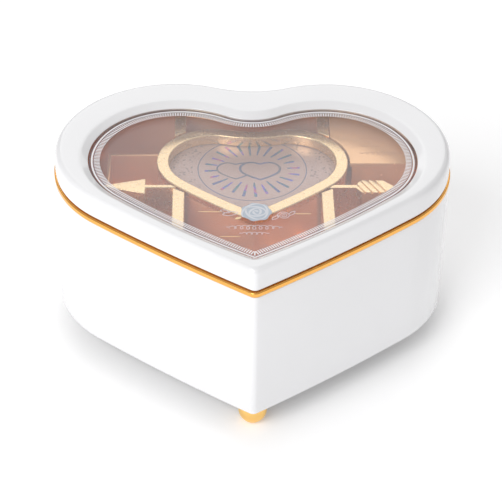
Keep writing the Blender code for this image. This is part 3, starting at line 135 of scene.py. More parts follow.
class Graph:
    """One material's node tree with its Principled shader."""

    def __init__(self, name: str) -> None:
        """Start a material with a lone Principled shader."""
        self.material = bpy.data.materials.new(name)
        self.material.use_nodes = True
        self.tree = self.material.node_tree
        self.shader = self.tree.nodes["Principled BSDF"]
        self.place = self.node("ShaderNodeTexCoord").outputs["Object"]

    def node(self, kind: str, settings: Optional[dict[str, Any]] = None,
             inputs: Optional[dict[Any, Any]] = None) -> bpy.types.Node:
        """Add a node.

        Args:
            kind: The node's type.
            settings: Properties set before the sockets; "stops" fills a colour ramp.
            inputs: Socket name or number to a number, colour, socket or Value.

        Returns:
            The new node.
        """
        made = self.tree.nodes.new(kind)
        for key, value in (settings or {}).items():
            if key == "stops":
                self._fill_ramp(made.color_ramp, value)
            else:
                setattr(made, key, value)
        for key, value in (inputs or {}).items():
            self._feed(made.inputs[key], value)
        return made

    @staticmethod
    def _fill_ramp(ramp: bpy.types.ColorRamp, stops: Sequence[tuple[float, tuple]]) -> None:
        """Give a colour ramp its stops."""
        while len(ramp.elements) < len(stops):
            ramp.elements.new(1.0)
        for element, (position, colour) in zip(ramp.elements, stops):
            element.position = position
            element.color = (*colour, 1.0)

    def _feed(self, socket: bpy.types.NodeSocket, value: Any) -> None:
        """Link or set one input."""
        if isinstance(value, Value):
            value = value.socket
        if isinstance(value, bpy.types.NodeSocket):
            self.tree.links.new(value, socket)
        elif (isinstance(value, (tuple, list)) and len(value) == 3
              and len(socket.default_value) == 4):
            socket.default_value = (*value, 1.0)
        else:
            socket.default_value = value

    def value(self, kind: str, settings: Optional[dict[str, Any]] = None,
              inputs: Optional[dict[Any, Any]] = None, output: Any = 0) -> Value:
        """Add a node and wrap one of its outputs."""
        return Value(self, self.node(kind, settings, inputs).outputs[output])

    def noise(self, scale: float, detail: float = 3.0,
              vector: Optional[bpy.types.NodeSocket] = None) -> Value:
        """Noise from 0 to 1; scale is in waves per metre."""
        return self.value("ShaderNodeTexNoise", None, {
            "Vector": vector or self.place, "Scale": scale, "Detail": detail})

    def stretched(self, scale: tuple[float, float, float]) -> bpy.types.NodeSocket:
        """The object's coordinates, stretched."""
        return self.node("ShaderNodeMapping", None, {
            "Vector": self.place, "Scale": scale}).outputs[0]

    def colours(self, factor: Value, stops: Sequence[tuple[float, tuple]]) -> bpy.types.NodeSocket:
        """A colour ramp."""
        return self.node("ShaderNodeValToRGB", {"stops": stops}, {"Fac": factor}).outputs[0]

    def mix(self, factor: Any, a: Any, b: Any) -> bpy.types.NodeSocket:
        """Blend two colours."""
        made = self.node("ShaderNodeMix", {"data_type": "RGBA"})
        colour_a, colour_b = [s for s in made.inputs if s.type == "RGBA"]
        self._feed(made.inputs[0], factor)
        self._feed(colour_a, a)
        self._feed(colour_b, b)
        return next(s for s in made.outputs if s.type == "RGBA")

    def bump(self, height: Value, distance: float, strength: float = 1.0) -> None:
        """Raise the surface by a height; distance is in metres."""
        made = self.node("ShaderNodeBump", None, {
            "Height": height, "Distance": distance, "Strength": strength})
        self._feed(self.shader.inputs["Normal"], made.outputs[0])

    def axes(self) -> tuple[Value, Value, Value]:
        """The object's x, y and z."""
        split = self.node("ShaderNodeSeparateXYZ", None, {0: self.place})
        return tuple(Value(self, split.outputs[i]) for i in range(3))

    def set(self, **sockets: Any) -> None:
        """Set the shader's sockets; underscores stand for spaces."""
        for key, value in sockets.items():
            self._feed(self.shader.inputs[key.replace("_", " ")], value)


# --- Finishes ----------------------------------------------------------------------------------
@dataclass(frozen=True)
class Finish:
    """Base of all finishes: a name and a colour."""

    name: str
    colour: tuple[float, float, float]
    roughness: float = 0.3

    def dress(self, graph: Graph) -> None:
        """Build the finish on an empty graph."""
        raise NotImplementedError

    def material(self) -> bpy.types.Material:
        """The finish's material, made once."""
        found = bpy.data.materials.get(self.name)
        if found is None:
            graph = Graph(self.name)
            self.dress(graph)
            graph.material.diffuse_color = (*self.colour, 1.0)
            found = graph.material
        return found

    def tint(self, amount: float) -> tuple[float, float, float]:
        """The colour made darker or lighter."""
        return tuple(min(c * amount, 1.0) for c in self.colour)


@dataclass(frozen=True)
class Lacquer(Finish):
    """Sprayed gloss lacquer: faint orange peel, dust-fine mottling and a clear coat."""

    coat: float = 0.7

    def dress(self, graph: Graph) -> None:
        """Build the lacquer."""
        cloud = graph.noise(28.0, 4.0)
        peel = graph.noise(900.0, 2.0)
        graph.set(
            Base_Color=graph.mix(cloud.ramp(0.3, 0.75), self.tint(0.985), self.colour),
            Roughness=cloud * 0.05 + (self.roughness - 0.025),
            Coat_Weight=self.coat,
            Coat_Roughness=0.05,
            IOR=1.5,
        )
        graph.bump(peel, 0.00001, 0.5)


@dataclass(frozen=True)
class GiltMetal(Finish):
    """Polished and plated brass: fine draw lines and a little tarnish in the recesses."""

    streak: tuple[float, float, float] = (60.0, 60.0, 2600.0)

    def dress(self, graph: Graph) -> None:
        """Build the plating."""
        lines = graph.noise(1.0, 3.0, graph.stretched(self.streak))
        tarnish = graph.noise(160.0, 5.0).ramp(0.52, 0.78)
        graph.set(
            Base_Color=graph.mix(tarnish * 0.5, self.colour, self.tint(0.80)),
            Metallic=1.0,
            Roughness=lines * 0.10 + tarnish * 0.10 + (self.roughness - 0.05),
        )
        graph.bump(lines, 0.000006, 0.6)


@dataclass(frozen=True)
class GiltPlastic(Finish):
    """Vacuum-plated moulding: soft waves from the mould and faint haze."""

    waves: float = 55.0
    plating: float = 1.0

    def dress(self, graph: Graph) -> None:
        """Build the plated plastic."""
        swell = graph.noise(self.waves, 2.0)
        haze = graph.noise(420.0, 4.0).ramp(0.45, 0.8)
        graph.set(
            Base_Color=graph.mix(haze * 0.6, self.colour, self.tint(0.93)),
            Metallic=self.plating,
            Roughness=haze * 0.10 + self.roughness,
        )
        graph.bump(swell, 0.0006, 0.25)


@dataclass(frozen=True)
class TurnedMetal(Finish):
    """Machined or cast metal with a grain."""

    grain: float = 700.0
    depth: float = 0.00001

    def dress(self, graph: Graph) -> None:
        """Build the metal."""
        grain = graph.noise(self.grain, 4.0)
        stain = graph.noise(90.0, 4.0).ramp(0.5, 0.8)
        graph.set(
            Base_Color=graph.mix(stain * 0.5, self.colour, self.tint(0.8)),
            Metallic=1.0,
            Roughness=grain * 0.18 + stain * 0.1 + (self.roughness - 0.09),
        )
        graph.bump(grain, self.depth, 0.6)


@dataclass(frozen=True)
class Moulding(Finish):
    """Plain plastic or flocked board with a fine texture."""

    grain: float = 1500.0
    depth: float = 0.00002
    mottle: float = 0.88

    def dress(self, graph: Graph) -> None:
        """Build the moulding."""
        grain = graph.noise(self.grain, 3.0)
        cloud = graph.noise(70.0, 3.0)
        graph.set(
            Base_Color=graph.mix(cloud, self.colour, self.tint(self.mottle)),
            Roughness=grain * 0.15 + (self.roughness - 0.07),
        )
        graph.bump(grain, self.depth, 0.7)


@dataclass(frozen=True)
class Paper(Finish):
    """Matt backdrop paper, lit a little from behind so that it stays pale."""

    glow: float = 0.24

    def dress(self, graph: Graph) -> None:
        """Build the paper."""
        fibre = graph.noise(300.0, 3.0)
        graph.set(
            Base_Color=graph.mix(fibre, self.colour, self.tint(0.99)),
            Roughness=fibre * 0.05 + self.roughness,
            Emission_Color=self.colour,
            Emission_Strength=self.glow,
        )


@dataclass(frozen=True)
class Acrylic(Finish):
    """Clear window with a light haze, and a stronger reflection where it is seen edge-on."""

    haze: float = 0.028
    edge: float = 0.22

    def dress(self, graph: Graph) -> None:
        """Build the window."""
        wipe = graph.noise(24.0, 3.0)
        gloss = graph.value("ShaderNodeFresnel", None, {"IOR": 1.49})
        graph.set(
            Base_Color=self.colour,
            Roughness=wipe * 0.03 + self.roughness,
            Alpha=gloss * self.edge + wipe * 0.02 + (self.haze - 0.01),
            Specular_IOR_Level=0.8,
        )


@dataclass(frozen=True)
class SilverMirror(Finish):
    """Tinted mirror, with a scatter of holographic flecks outside a clear disc."""

    clear_radius: float = 26.0 * MM
    centre_y: float = 0.0
    fleck: tuple[float, float, float] = (0.20, 0.19, 0.20)

    def dress(self, graph: Graph) -> None:
        """Build the mirror."""
        x, y, _ = graph.axes()
        away = y - self.centre_y
        radius = graph.value("ShaderNodeMath", {"operation": "SQRT"}, {0: x * x + away * away})
        cells = graph.value("ShaderNodeTexVoronoi", {"feature": "F1"}, {
            "Vector": graph.place, "Scale": 640.0, "Randomness": 1.0})
        spread = graph.noise(210.0, 3.0)
        outside = radius.ramp(self.clear_radius, self.clear_radius + 1.5 * MM)
        flecks = (0.33 - cells).above(0.0) * spread.ramp(0.40, 0.55) * outside
        cloud = graph.noise(45.0, 3.0)
        base = graph.mix(cloud, self.colour, self.tint(0.92))
        graph.set(
            Base_Color=graph.mix(flecks * 0.85, base, self.fleck),
            Metallic=0.3,
            Roughness=flecks * 0.2 + cloud * 0.06 + self.roughness,
        )


@dataclass(frozen=True)
class Ink(Finish):
    """Printed ink: matt, very slightly uneven."""

    strength: float = 1.0

    def dress(self, graph: Graph) -> None:
        """Build the ink."""
        cover = graph.noise(1800.0, 2.0)
        graph.set(
            Base_Color=graph.mix(cover, self.colour, self.tint(0.93)),
            Roughness=cover * 0.1 + self.roughness,
            Alpha=cover * 0.08 + (self.strength - 0.08),
        )


@dataclass(frozen=True)
class Hologram(Finish):
    """Diffraction foil: its colour drifts through the rainbow across the piece."""

    stops: tuple[tuple[float, tuple[float, float, float]], ...] = (
        (0.30, (0.06, 0.17, 0.25)),
        (0.40, (0.07, 0.11, 0.36)),
        (0.48, (0.06, 0.22, 0.24)),
        (0.55, (0.15, 0.13, 0.60)),
        (0.63, (0.50, 0.13, 0.30)),
        (0.73, (0.45, 0.48, 0.12)),
    )

    def dress(self, graph: Graph) -> None:
        """Build the foil."""
        drift = graph.noise(120.0, 2.0)
        graph.set(
            Base_Color=graph.colours(drift, self.stops),
            Metallic=0.35,
            Roughness=drift * 0.1 + self.roughness,
        )


LACQUER = Lacquer("white_lacquer", (0.86, 0.86, 0.875), 0.16)
TRIM_GILT = GiltMetal("trim_gilt", (0.93, 0.48, 0.12), 0.20)
FOOT_GILT = GiltMetal("foot_gilt", (0.95, 0.60, 0.20), 0.14, (300.0, 300.0, 2600.0))
TRAY_GILT = GiltPlastic("tray_gilt", (1.0, 0.55, 0.27), 0.16, 55.0, 0.55)
# Gilt of the message plate: its own plating, with the colour pushed orange as a painted reflection
# of the tray wall.
PLATE_GILT_PAINTED_REFLECTION = GiltPlastic("plate_gilt_painted_reflection", (1.0, 0.60, 0.30), 0.20, 30.0, 0.45)
RAIL_GILT = GiltPlastic("rail_gilt", (1.0, 0.76, 0.44), 0.24, 30.0)
WINDOW = Acrylic("window_acrylic", (0.93, 0.88, 0.90), 0.03)
BRASS = TurnedMetal("brass", (0.80, 0.58, 0.28), 0.30)
STEEL = TurnedMetal("bright_steel", (0.62, 0.63, 0.65), 0.27)
SPRING = TurnedMetal("blued_spring_steel", (0.22, 0.25, 0.33), 0.32)
ZINC = TurnedMetal("nickelled_casting", (0.55, 0.55, 0.56), 0.42, 1500.0, 0.00003)
NYLON = Moulding("white_nylon", (0.80, 0.79, 0.74), 0.45)
BOARD = Moulding("flocked_base", (0.045, 0.04, 0.04), 0.92, 2600.0, 0.00012, 0.6)


# --- Modelling bench ---------------------------------------------------------------------------
def clear_selection() -> None:
    """Leave edit mode and deselect everything."""
    if bpy.context.object and bpy.context.object.mode != "OBJECT":
        bpy.ops.object.mode_set(mode="OBJECT")
    bpy.ops.object.select_all(action="DESELECT")


def activate(obj: bpy.types.Object) -> None:
    """Select one object alone and make it active."""
    clear_selection()
    obj.select_set(True)
    bpy.context.view_layer.objects.active = obj


def named(name: str) -> bpy.types.Object:
    """Name the object that an operator has just added."""
    obj = bpy.context.object
    obj.name = name
    obj.data.name = name
    return obj


def place_fixed(obj: bpy.types.Object) -> bpy.types.Object:
    """Put an object's place, turn and scale into its mesh."""
    activate(obj)
    bpy.ops.object.transform_apply(location=True, rotation=True, scale=True)
    return obj


def apply_modifier(obj: bpy.types.Object, kind: str, **settings: Any) -> None:
    """Add a modifier with settings and apply it."""
    activate(obj)
    modifier = obj.modifiers.new(kind.title(), kind)
    for key, value in settings.items():
        setattr(modifier, key, value)
    bpy.ops.object.modifier_apply(modifier=modifier.name)


def subtract(obj: bpy.types.Object, cutter: bpy.types.Object) -> None:
    """Cut one object out of another and throw the cutter away."""
    apply_modifier(obj, "BOOLEAN", operation="DIFFERENCE", solver="EXACT", object=cutter)
    bpy.data.objects.remove(cutter)


def join(name: str, pieces: Sequence[bpy.types.Object]) -> bpy.types.Object:
    """Join objects into one."""
    clear_selection()
    for piece in pieces:
        piece.select_set(True)
    bpy.context.view_layer.objects.active = pieces[0]
    if len(pieces) > 1:
        bpy.ops.object.join()
    return named(name)


def smooth(obj: bpy.types.Object, degrees: float = 35.0) -> bpy.types.Object:
    """Shade an object smooth, with its sharp edges kept."""
    activate(obj)
    bpy.ops.object.shade_smooth_by_angle(angle=math.radians(degrees))
    return obj


def outward() -> None:
    """In edit mode, close doubles and turn every face outwards."""
    bpy.ops.mesh.select_all(action="SELECT")
    bpy.ops.mesh.remove_doubles(threshold=1e-7)
    bpy.ops.mesh.normals_make_consistent(inside=False)


def sweep(name: str, loops: Sequence[Loop], closed: bool = True,
          capped: bool = True) -> bpy.types.Object:
    """Draw a ring of points out through a list of loops.

    Args:
        name: The new object's name.
        loops: Equal loops of points; each is extruded from the one before it.
        closed: Whether the last loop runs back into the first.
        capped: Whether the ends of an open sweep are filled.

    Returns:
        The mesh object.
    """
    clear_selection()
    bpy.ops.mesh.primitive_circle_add(vertices=len(loops[0]), radius=0.01)
    obj = named(name)
    bpy.ops.object.mode_set(mode="EDIT")
    mesh = bmesh.from_edit_mesh(obj.data)
    order = {vert.index: i for i, vert in enumerate(mesh.verts)}
    for vert in mesh.verts:
        vert.co = loops[0][order[vert.index]]
    if capped and not closed:
        bpy.ops.mesh.edge_face_add()
        bpy.ops.mesh.select_mode(type="VERT")
        bpy.ops.mesh.select_all(action="SELECT")
    for loop in [*loops[1:], *([loops[0]] if closed else [])]:
        bpy.ops.mesh.extrude_edges_indiv()
        mesh = bmesh.from_edit_mesh(obj.data)
        mesh.verts.index_update()
        fresh = {}
        for vert in mesh.verts:
            if not vert.select:
                continue
            older = next(e.other_vert(vert) for e in vert.link_edges
                         if not e.other_vert(vert).select)
            fresh[vert.index] = order[older.index]
        for vert in mesh.verts:
            if vert.select:
                vert.co = loop[fresh[vert.index]]
        order = fresh
        bmesh.update_edit_mesh(obj.data)
    if capped and not closed:
        bpy.ops.mesh.edge_face_add()
    outward()
    bpy.ops.object.mode_set(mode="OBJECT")
    return obj


def rounded(loops: Sequence[Loop], radii: Sequence[float], steps: int = 4,
            closed: bool = True) -> list[Loop]:
    """Round the corners between loops of a sweep.

    Args:
        loops: The sharp loops.
        radii: How far each corner's rounding reaches along the faces beside it.
        steps: Segments in each rounding.
        closed: Whether the sweep runs back into its first loop.

    Returns:
        The loops with each rounded one replaced by several.
    """
    result: list[Loop] = []
    count = len(loops)
    for k, radius in enumerate(radii):
        inner = closed or 0 < k < count - 1
        if radius <= 0 or not inner:
            result.append(list(loops[k]))
            continue
        before, after = loops[k - 1], loops[(k + 1) % count]
        for step in range(steps + 1):
            t = step / steps
            row = []
            for here, a, b in zip(loops[k], before, after):
                start = here + (a - here) * min(radius / max((a - here).length, 1e-9), 0.48)
                end = here + (b - here) * min(radius / max((b - here).length, 1e-9), 0.48)
                row.append(start * (1 - t) ** 2 + here * 2 * t * (1 - t) + end * t ** 2)
            result.append(row)
    return result


def spun(name: str, profile: Sequence[tuple[float, float]], centre: Vector,
         steps: int = 48) -> bpy.types.Object:
    """Spin a profile of (radius, height) round an upright axis.

    Args:
        name: The new object's name.
        profile: Corners from the bottom to the top; its ends lie on the axis.
        centre: Foot of the axis.
        steps: Segments round the axis.

    Returns:
        The turned object.
    """
    clear_selection()
    bpy.ops.mesh.primitive_plane_add(size=0.01)
    obj = named(name)
    bpy.ops.object.mode_set(mode="EDIT")
    mesh = bmesh.from_edit_mesh(obj.data)
    bmesh.ops.delete(mesh, geom=list(mesh.verts)[1:], context="VERTS")
    first = mesh.verts[:][0]
    first.co = centre + Vector((profile[0][0], 0.0, profile[0][1]))
    first.select = True
    bmesh.update_edit_mesh(obj.data)
    here = Vector((profile[0][0], 0.0, profile[0][1]))
    for radius, height in profile[1:]:
        there = Vector((radius, 0.0, height))
        bpy.ops.mesh.extrude_vertices_move(TRANSFORM_OT_translate={"value": there - here})
        here = there
    bpy.ops.mesh.select_all(action="SELECT")
    bpy.ops.mesh.spin(steps=steps, angle=TAU, center=centre, axis=(0.0, 0.0, 1.0))
    outward()
    bpy.ops.object.mode_set(mode="OBJECT")
    return smooth(obj, 40.0)


def block(name: str, low: Vector, high: Vector) -> bpy.types.Object:
    """A box between two corners, for cutting."""
    clear_selection()
    bpy.ops.mesh.primitive_cube_add(size=1.0, location=(low + high) / 2, scale=high - low)
    return place_fixed(named(name))


def softened(node: str, width: float, segments: int = 2, name: str = "") -> bpy.types.Object:
    """A copy of a frame node with its edges broken, as a moulding's are."""
    source = bpy.data.objects[node]
    obj = bpy.data.objects.new(name or f"{node}_finished", source.data.copy())
    bpy.context.scene.collection.objects.link(obj)
    obj.data.materials.clear()
    activate(obj)
    bpy.ops.object.mode_set(mode="EDIT")
    bpy.ops.mesh.select_all(action="SELECT")
    bpy.ops.mesh.customdata_custom_splitnormals_clear()
    bpy.ops.mesh.remove_doubles(threshold=1e-6)
    bpy.ops.mesh.dissolve_limited(angle_limit=math.radians(1.0))
    bpy.ops.object.mode_set(mode="OBJECT")
    if width > 0:
        apply_modifier(obj, "BEVEL", width=width, segments=segments, limit_method="ANGLE",
                       angle_limit=math.radians(40.0), harden_normals=False)
    return smooth(obj)


def ribbon(name: str, line: Sequence[Vector], widths: Sequence[float], thickness: float,
           closed: bool = False) -> bpy.types.Object:
    """A flat printed line with a little thickness.

    Args:
        name: The new object's name.
        line: Points along the middle, all at one height.
        widths: Width at each point.
        thickness: Height of the print.
        closed: Whether the line runs back into its start.

    Returns:
        The mesh object.
    """
    count = len(line)
    left, right = [], []
    for i, here in enumerate(line):
        before = line[i - 1] if closed or i else here
        after = line[(i + 1) % count] if closed or i < count - 1 else here
        along = (after - before).normalized()
        side = Vector((-along.y, along.x, 0.0)) * widths[i] / 2
        left.append(here + side)
        right.append(here - side)
    if closed:
        up = Vector((0.0, 0.0, thickness))
        loops = [left, [p + up for p in left], [p + up for p in right], right]
        return sweep(name, loops)
    clear_selection()
    bpy.ops.mesh.primitive_plane_add(size=0.01)
    obj = named(name)
    bpy.ops.object.mode_set(mode="EDIT")
    bpy.ops.mesh.delete(type="ONLY_FACE")
    mesh = bmesh.from_edit_mesh(obj.data)
    bmesh.ops.delete(mesh, geom=mesh.verts[:][2:], context="VERTS")
    a, b = mesh.verts[:]
    a.co, b.co = left[0], right[0]
    bmesh.update_edit_mesh(obj.data)
    bpy.ops.mesh.select_all(action="SELECT")
    for i in range(1, count):
        bpy.ops.mesh.extrude_edges_indiv()
        mesh = bmesh.from_edit_mesh(obj.data)
        for vert in [v for v in mesh.verts if v.select]:
            older = next(e.other_vert(vert) for e in vert.link_edges
                         if not e.other_vert(vert).select)
            side_a = (older.co - left[i - 1]).length < (older.co - right[i - 1]).length
            vert.co = left[i] if side_a else right[i]
        bmesh.update_edit_mesh(obj.data)
    bpy.ops.object.mode_set(mode="OBJECT")
    apply_modifier(obj, "SOLIDIFY", thickness=thickness, offset=-1.0)
    activate(obj)
    bpy.ops.object.mode_set(mode="EDIT")
    outward()
    bpy.ops.object.mode_set(mode="OBJECT")
    low = min(v.co.z for v in obj.data.vertices)
    obj.data.transform(Matrix.Translation((0.0, 0.0, line[0].z - low)))
    return obj


def repeated(name: str, pattern: bpy.types.Object,
             places: Iterable[Matrix]) -> bpy.types.Object:
    """Copy a small piece to many places and join the copies."""
    copies = []
    for place in places:
        copy = bpy.data.objects.new(name, pattern.data.copy())
        bpy.context.scene.collection.objects.link(copy)
        copy.data.transform(place)
        copies.append(copy)
    bpy.data.objects.remove(pattern)
    return join(name, copies)


def dress(obj: bpy.types.Object, finish: Finish) -> bpy.types.Object:
    """Give an object one finish."""
    obj.data.materials.clear()
    obj.data.materials.append(finish.material())
    return obj


def hand_over(obj: bpy.types.Object, body: Body, finish: Finish,
              stands_for: Sequence[str] = ()) -> bpy.types.Object:
    """Dress a finished piece, ride it on its body and report it.

    Args:
        obj: The finished piece.
        body: The body that it moves with.
        finish: Its finish.
        stands_for: Frame nodes that it replaces.

    Returns:
        The piece.
    """
    dress(obj, finish)
    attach(obj, body.value)
    if stands_for:
        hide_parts(*stands_for)
    LOG.info("%s: %d faces on %s", obj.name, len(obj.data.polygons), body.value)
    return obj


# --- The heart's outline -----------------------------------------------------------------------
@dataclass(frozen=True)
class HeartLine:
    """Heart of tangent arcs, symmetrical about x = 0, tip towards -Y; sizes in metres."""

    half_width: float
    lobe_r: float
    tip: float
    side_r: float
    cleft_r: float
    tip_r: float
    y: float
    lobe_steps: int = 60
    side_steps: int = 22
    cleft_steps: int = 8
    tip_steps: int = 6

    def points(self, inset: float = 0.0, z: float = 0.0) -> Loop:
        """Points of the outline moved inwards.

        Args:
            inset: How far inwards.
            z: Height of the points.

        Returns:
            The loop, clockwise from the cleft seen from above.
        """
        lobe = Vector((self.half_width - self.lobe_r, 0.0))
        across = Vector((0.0, -self.tip)) - lobe
        near = self.side_r - self.lobe_r
        along = (near ** 2 - self.side_r ** 2 + across.length_squared) / (2 * across.length)
        up = math.sqrt(near ** 2 - along ** 2)
        unit = across.normalized()
        side = lobe + unit * along + Vector((unit.y, -unit.x)) * up
        cleft_y = math.sqrt((self.lobe_r + self.cleft_r) ** 2 - lobe.x ** 2)
        cleft = Vector((0.0, cleft_y))
        tip_r = max(self.tip_r - inset, 0.4 * MM)
        reach = self.side_r - inset - tip_r
        tip = Vector((0.0, side.y - math.sqrt(reach ** 2 - side.x ** 2)))
        half = self._arc(cleft, self.cleft_r + inset, -math.pi / 2,
                         self._angle(lobe - cleft), self.cleft_steps)
        half += self._arc(lobe, self.lobe_r - inset, self._angle(cleft - lobe),
                          self._angle(lobe - side), self.lobe_steps)
        half += self._arc(side, self.side_r - inset, self._angle(lobe - side),
                          self._angle(tip - side), self.side_steps)
        half += self._arc(tip, tip_r, self._angle(tip - side), -math.pi / 2, self.tip_steps)
        half.append(tip + Vector((0.0, -tip_r)))
        loop = half + [Vector((-p.x, p.y)) for p in reversed(half[1:-1])]
        return [Vector((p.x, p.y + self.y, z)) for p in loop]

    @staticmethod
    def _angle(vector: Vector) -> float:
        """Direction of a flat vector."""
        return math.atan2(vector.y, vector.x)

    @staticmethod
    def _arc(centre: Vector, radius: float, start: float, end: float, steps: int) -> Loop:
        """Points of an arc without its last one."""
        turns = (start + (end - start) * i / steps for i in range(steps))
        return [centre + Vector((math.cos(a), math.sin(a))) * radius for a in turns]

    def profile(self, corners: Sequence[tuple[float, float]]) -> list[Loop]:
        """One loop for each (inset, z) corner."""
        return [self.points(inset, z) for inset, z in corners]

    def marks(self, inset: float, pitch: float, z: float) -> list[Matrix]:
        """Places along the line at an even pitch, each with its Y axis pointing inwards."""
        loop = self.points(inset, z)
        total = sum((b - a).length for a, b in zip(loop, loop[1:] + loop[:1]))
        count = round(total / pitch)
        step = total / count
        places, walked, target = [], 0.0, step / 2
        for a, b in zip(loop, loop[1:] + loop[:1]):
            length = (b - a).length
            while length and walked + length >= target:
                along = (b - a).normalized()
                inwards = Vector((along.y, -along.x, 0.0))
                spot = a + along * (target - walked)
                turn = Matrix((along, inwards, Vector((0.0, 0.0, 1.0)))).transposed().to_4x4()
                places.append(Matrix.Translation(spot) @ turn)
                target += step
            walked += length
        return places


# --- Case --------------------------------------------------------------------------------------
@dataclass
class Case:
    """Lacquered shell, gilt band, ball feet and the base."""

    heart: HeartLine
    wall: float = 5.0 * MM
    seat: float = 3.2 * MM
    rebate: float = 2.1 * MM
    edge: float = 0.9 * MM
    post_radius: float = 4.2 * MM
    trim_depth: float = 1.8 * MM
    trim_proud: float = 0.6 * MM
    hinge_notch: float = 16.8 * MM

    def build(self) -> None:
        """Model and dress the case."""
        self.shell()
        self.trim()
        for side in ("front", "left", "right"):
            BallFoot(side).build()
        dress(bpy.data.objects["base_cover"], BOARD)

    def shell(self) -> None:
        """The wall, swept round the heart, with the posts that the base screws go into."""
        low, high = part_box("case_body")
        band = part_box("trim_band")[0].z - 0.3 * MM
        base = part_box("base_cover")[1].z + 0.3 * MM
        tray_seat = high.z - 1.7 * MM
        loops = self.heart.profile([
            (0.0, low.z), (0.0, band), (self.rebate, band), (self.rebate, high.z),
            (self.seat, high.z), (self.seat, tray_seat), (self.wall, tray_seat),
            (self.wall, base), (self.seat, base), (self.seat, low.z),
        ])
        soft = 0.3 * MM
        radii = [self.edge, soft, 0.0, 0.2 * MM, 0.2 * MM, 0.0, soft, soft, 0.0, soft]
        shell = smooth(sweep("case_shell", rounded(loops, radii)))
        hand_over(shell, Body.CASE, LACQUER, ["case_body"])
        posts = []
        for node in ("base_screw_left", "base_screw_right", "base_screw_cleft"):
            near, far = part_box(node)
            middle = (near + far) / 2
            foot = Vector((middle.x, middle.y, base))
            r, bore, height = self.post_radius, 1.5 * MM, 14.0 * MM
            posts.append(spun("post", [(bore, 0.0), (r, 0.0), (r - 0.3 * MM, height),
                                       (0.0, height), (0.0, height - 2 * MM),
                                       (bore, height - 2 * MM), (bore, 0.0)], foot, 24))
        hand_over(join("case_posts", posts), Body.CASE, LACQUER)

    def trim(self) -> None:
        """The band, let into the case's edge and cut away behind the hinges."""
        low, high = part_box("trim_band")
        out = -self.trim_proud
        loops = self.heart.profile([
            (self.trim_depth, low.z), (out, low.z), (out, high.z), (self.trim_depth, high.z)])
        band = sweep("trim_ring", rounded(loops, [0.0, 0.7 * MM, 0.7 * MM, 0.0], 5))
        for side in ("left", "right"):
            near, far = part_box(f"hinge_case_leaf_{side}")
            middle = (near.x + far.x) / 2
            half = self.hinge_notch / 2
            back = self.heart.y + self.heart.lobe_r - 0.1 * MM
            subtract(band, block("notch", Vector((middle - half, back, low.z - MM)),
                                 Vector((middle + half, far.y + 5 * MM, high.z + MM))))
        hand_over(smooth(band), Body.CASE, TRIM_GILT, ["trim_band"])


@dataclass
class BallFoot:
    """A turned ball with a groove round its lower half, on a short neck."""

    side: str
    radius: float = 6.5 * MM
    neck: float = 3.0 * MM
    groove: float = 0.35 * MM
    groove_angle: float = math.radians(-38.0)

    def build(self) -> None:
        """Turn and dress the foot."""
        node = f"foot_{self.side}"
        low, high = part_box(node)
        axis = Vector(((low.x + high.x) / 2, (low.y + high.y) / 2, low.z))
        flat = 2.6 * MM
        centre = math.sqrt(self.radius ** 2 - flat ** 2)
        start = math.atan2(-centre, flat)
        end = math.acos(self.neck / self.radius)
        profile = [(0.0, 0.25 * MM), (flat - 0.5 * MM, 0.25 * MM), (flat - 0.2 * MM, 0.0)]
        for i in range(33):
            angle = start + (end - start) * i / 32
            dip = self.groove * math.exp(-((angle - self.groove_angle) / 0.06) ** 2)
            reach = self.radius - dip
            profile.append((reach * math.cos(angle), centre + reach * math.sin(angle)))
        top = high.z - low.z
        profile += [(self.neck - 0.2 * MM, top - 0.5 * MM), (self.neck, top - 0.3 * MM),
                    (self.neck, top), (0.0, top)]
        foot = spun(f"ball_foot_{self.side}", profile, axis)
        hand_over(foot, Body.CASE, FOOT_GILT, [node])


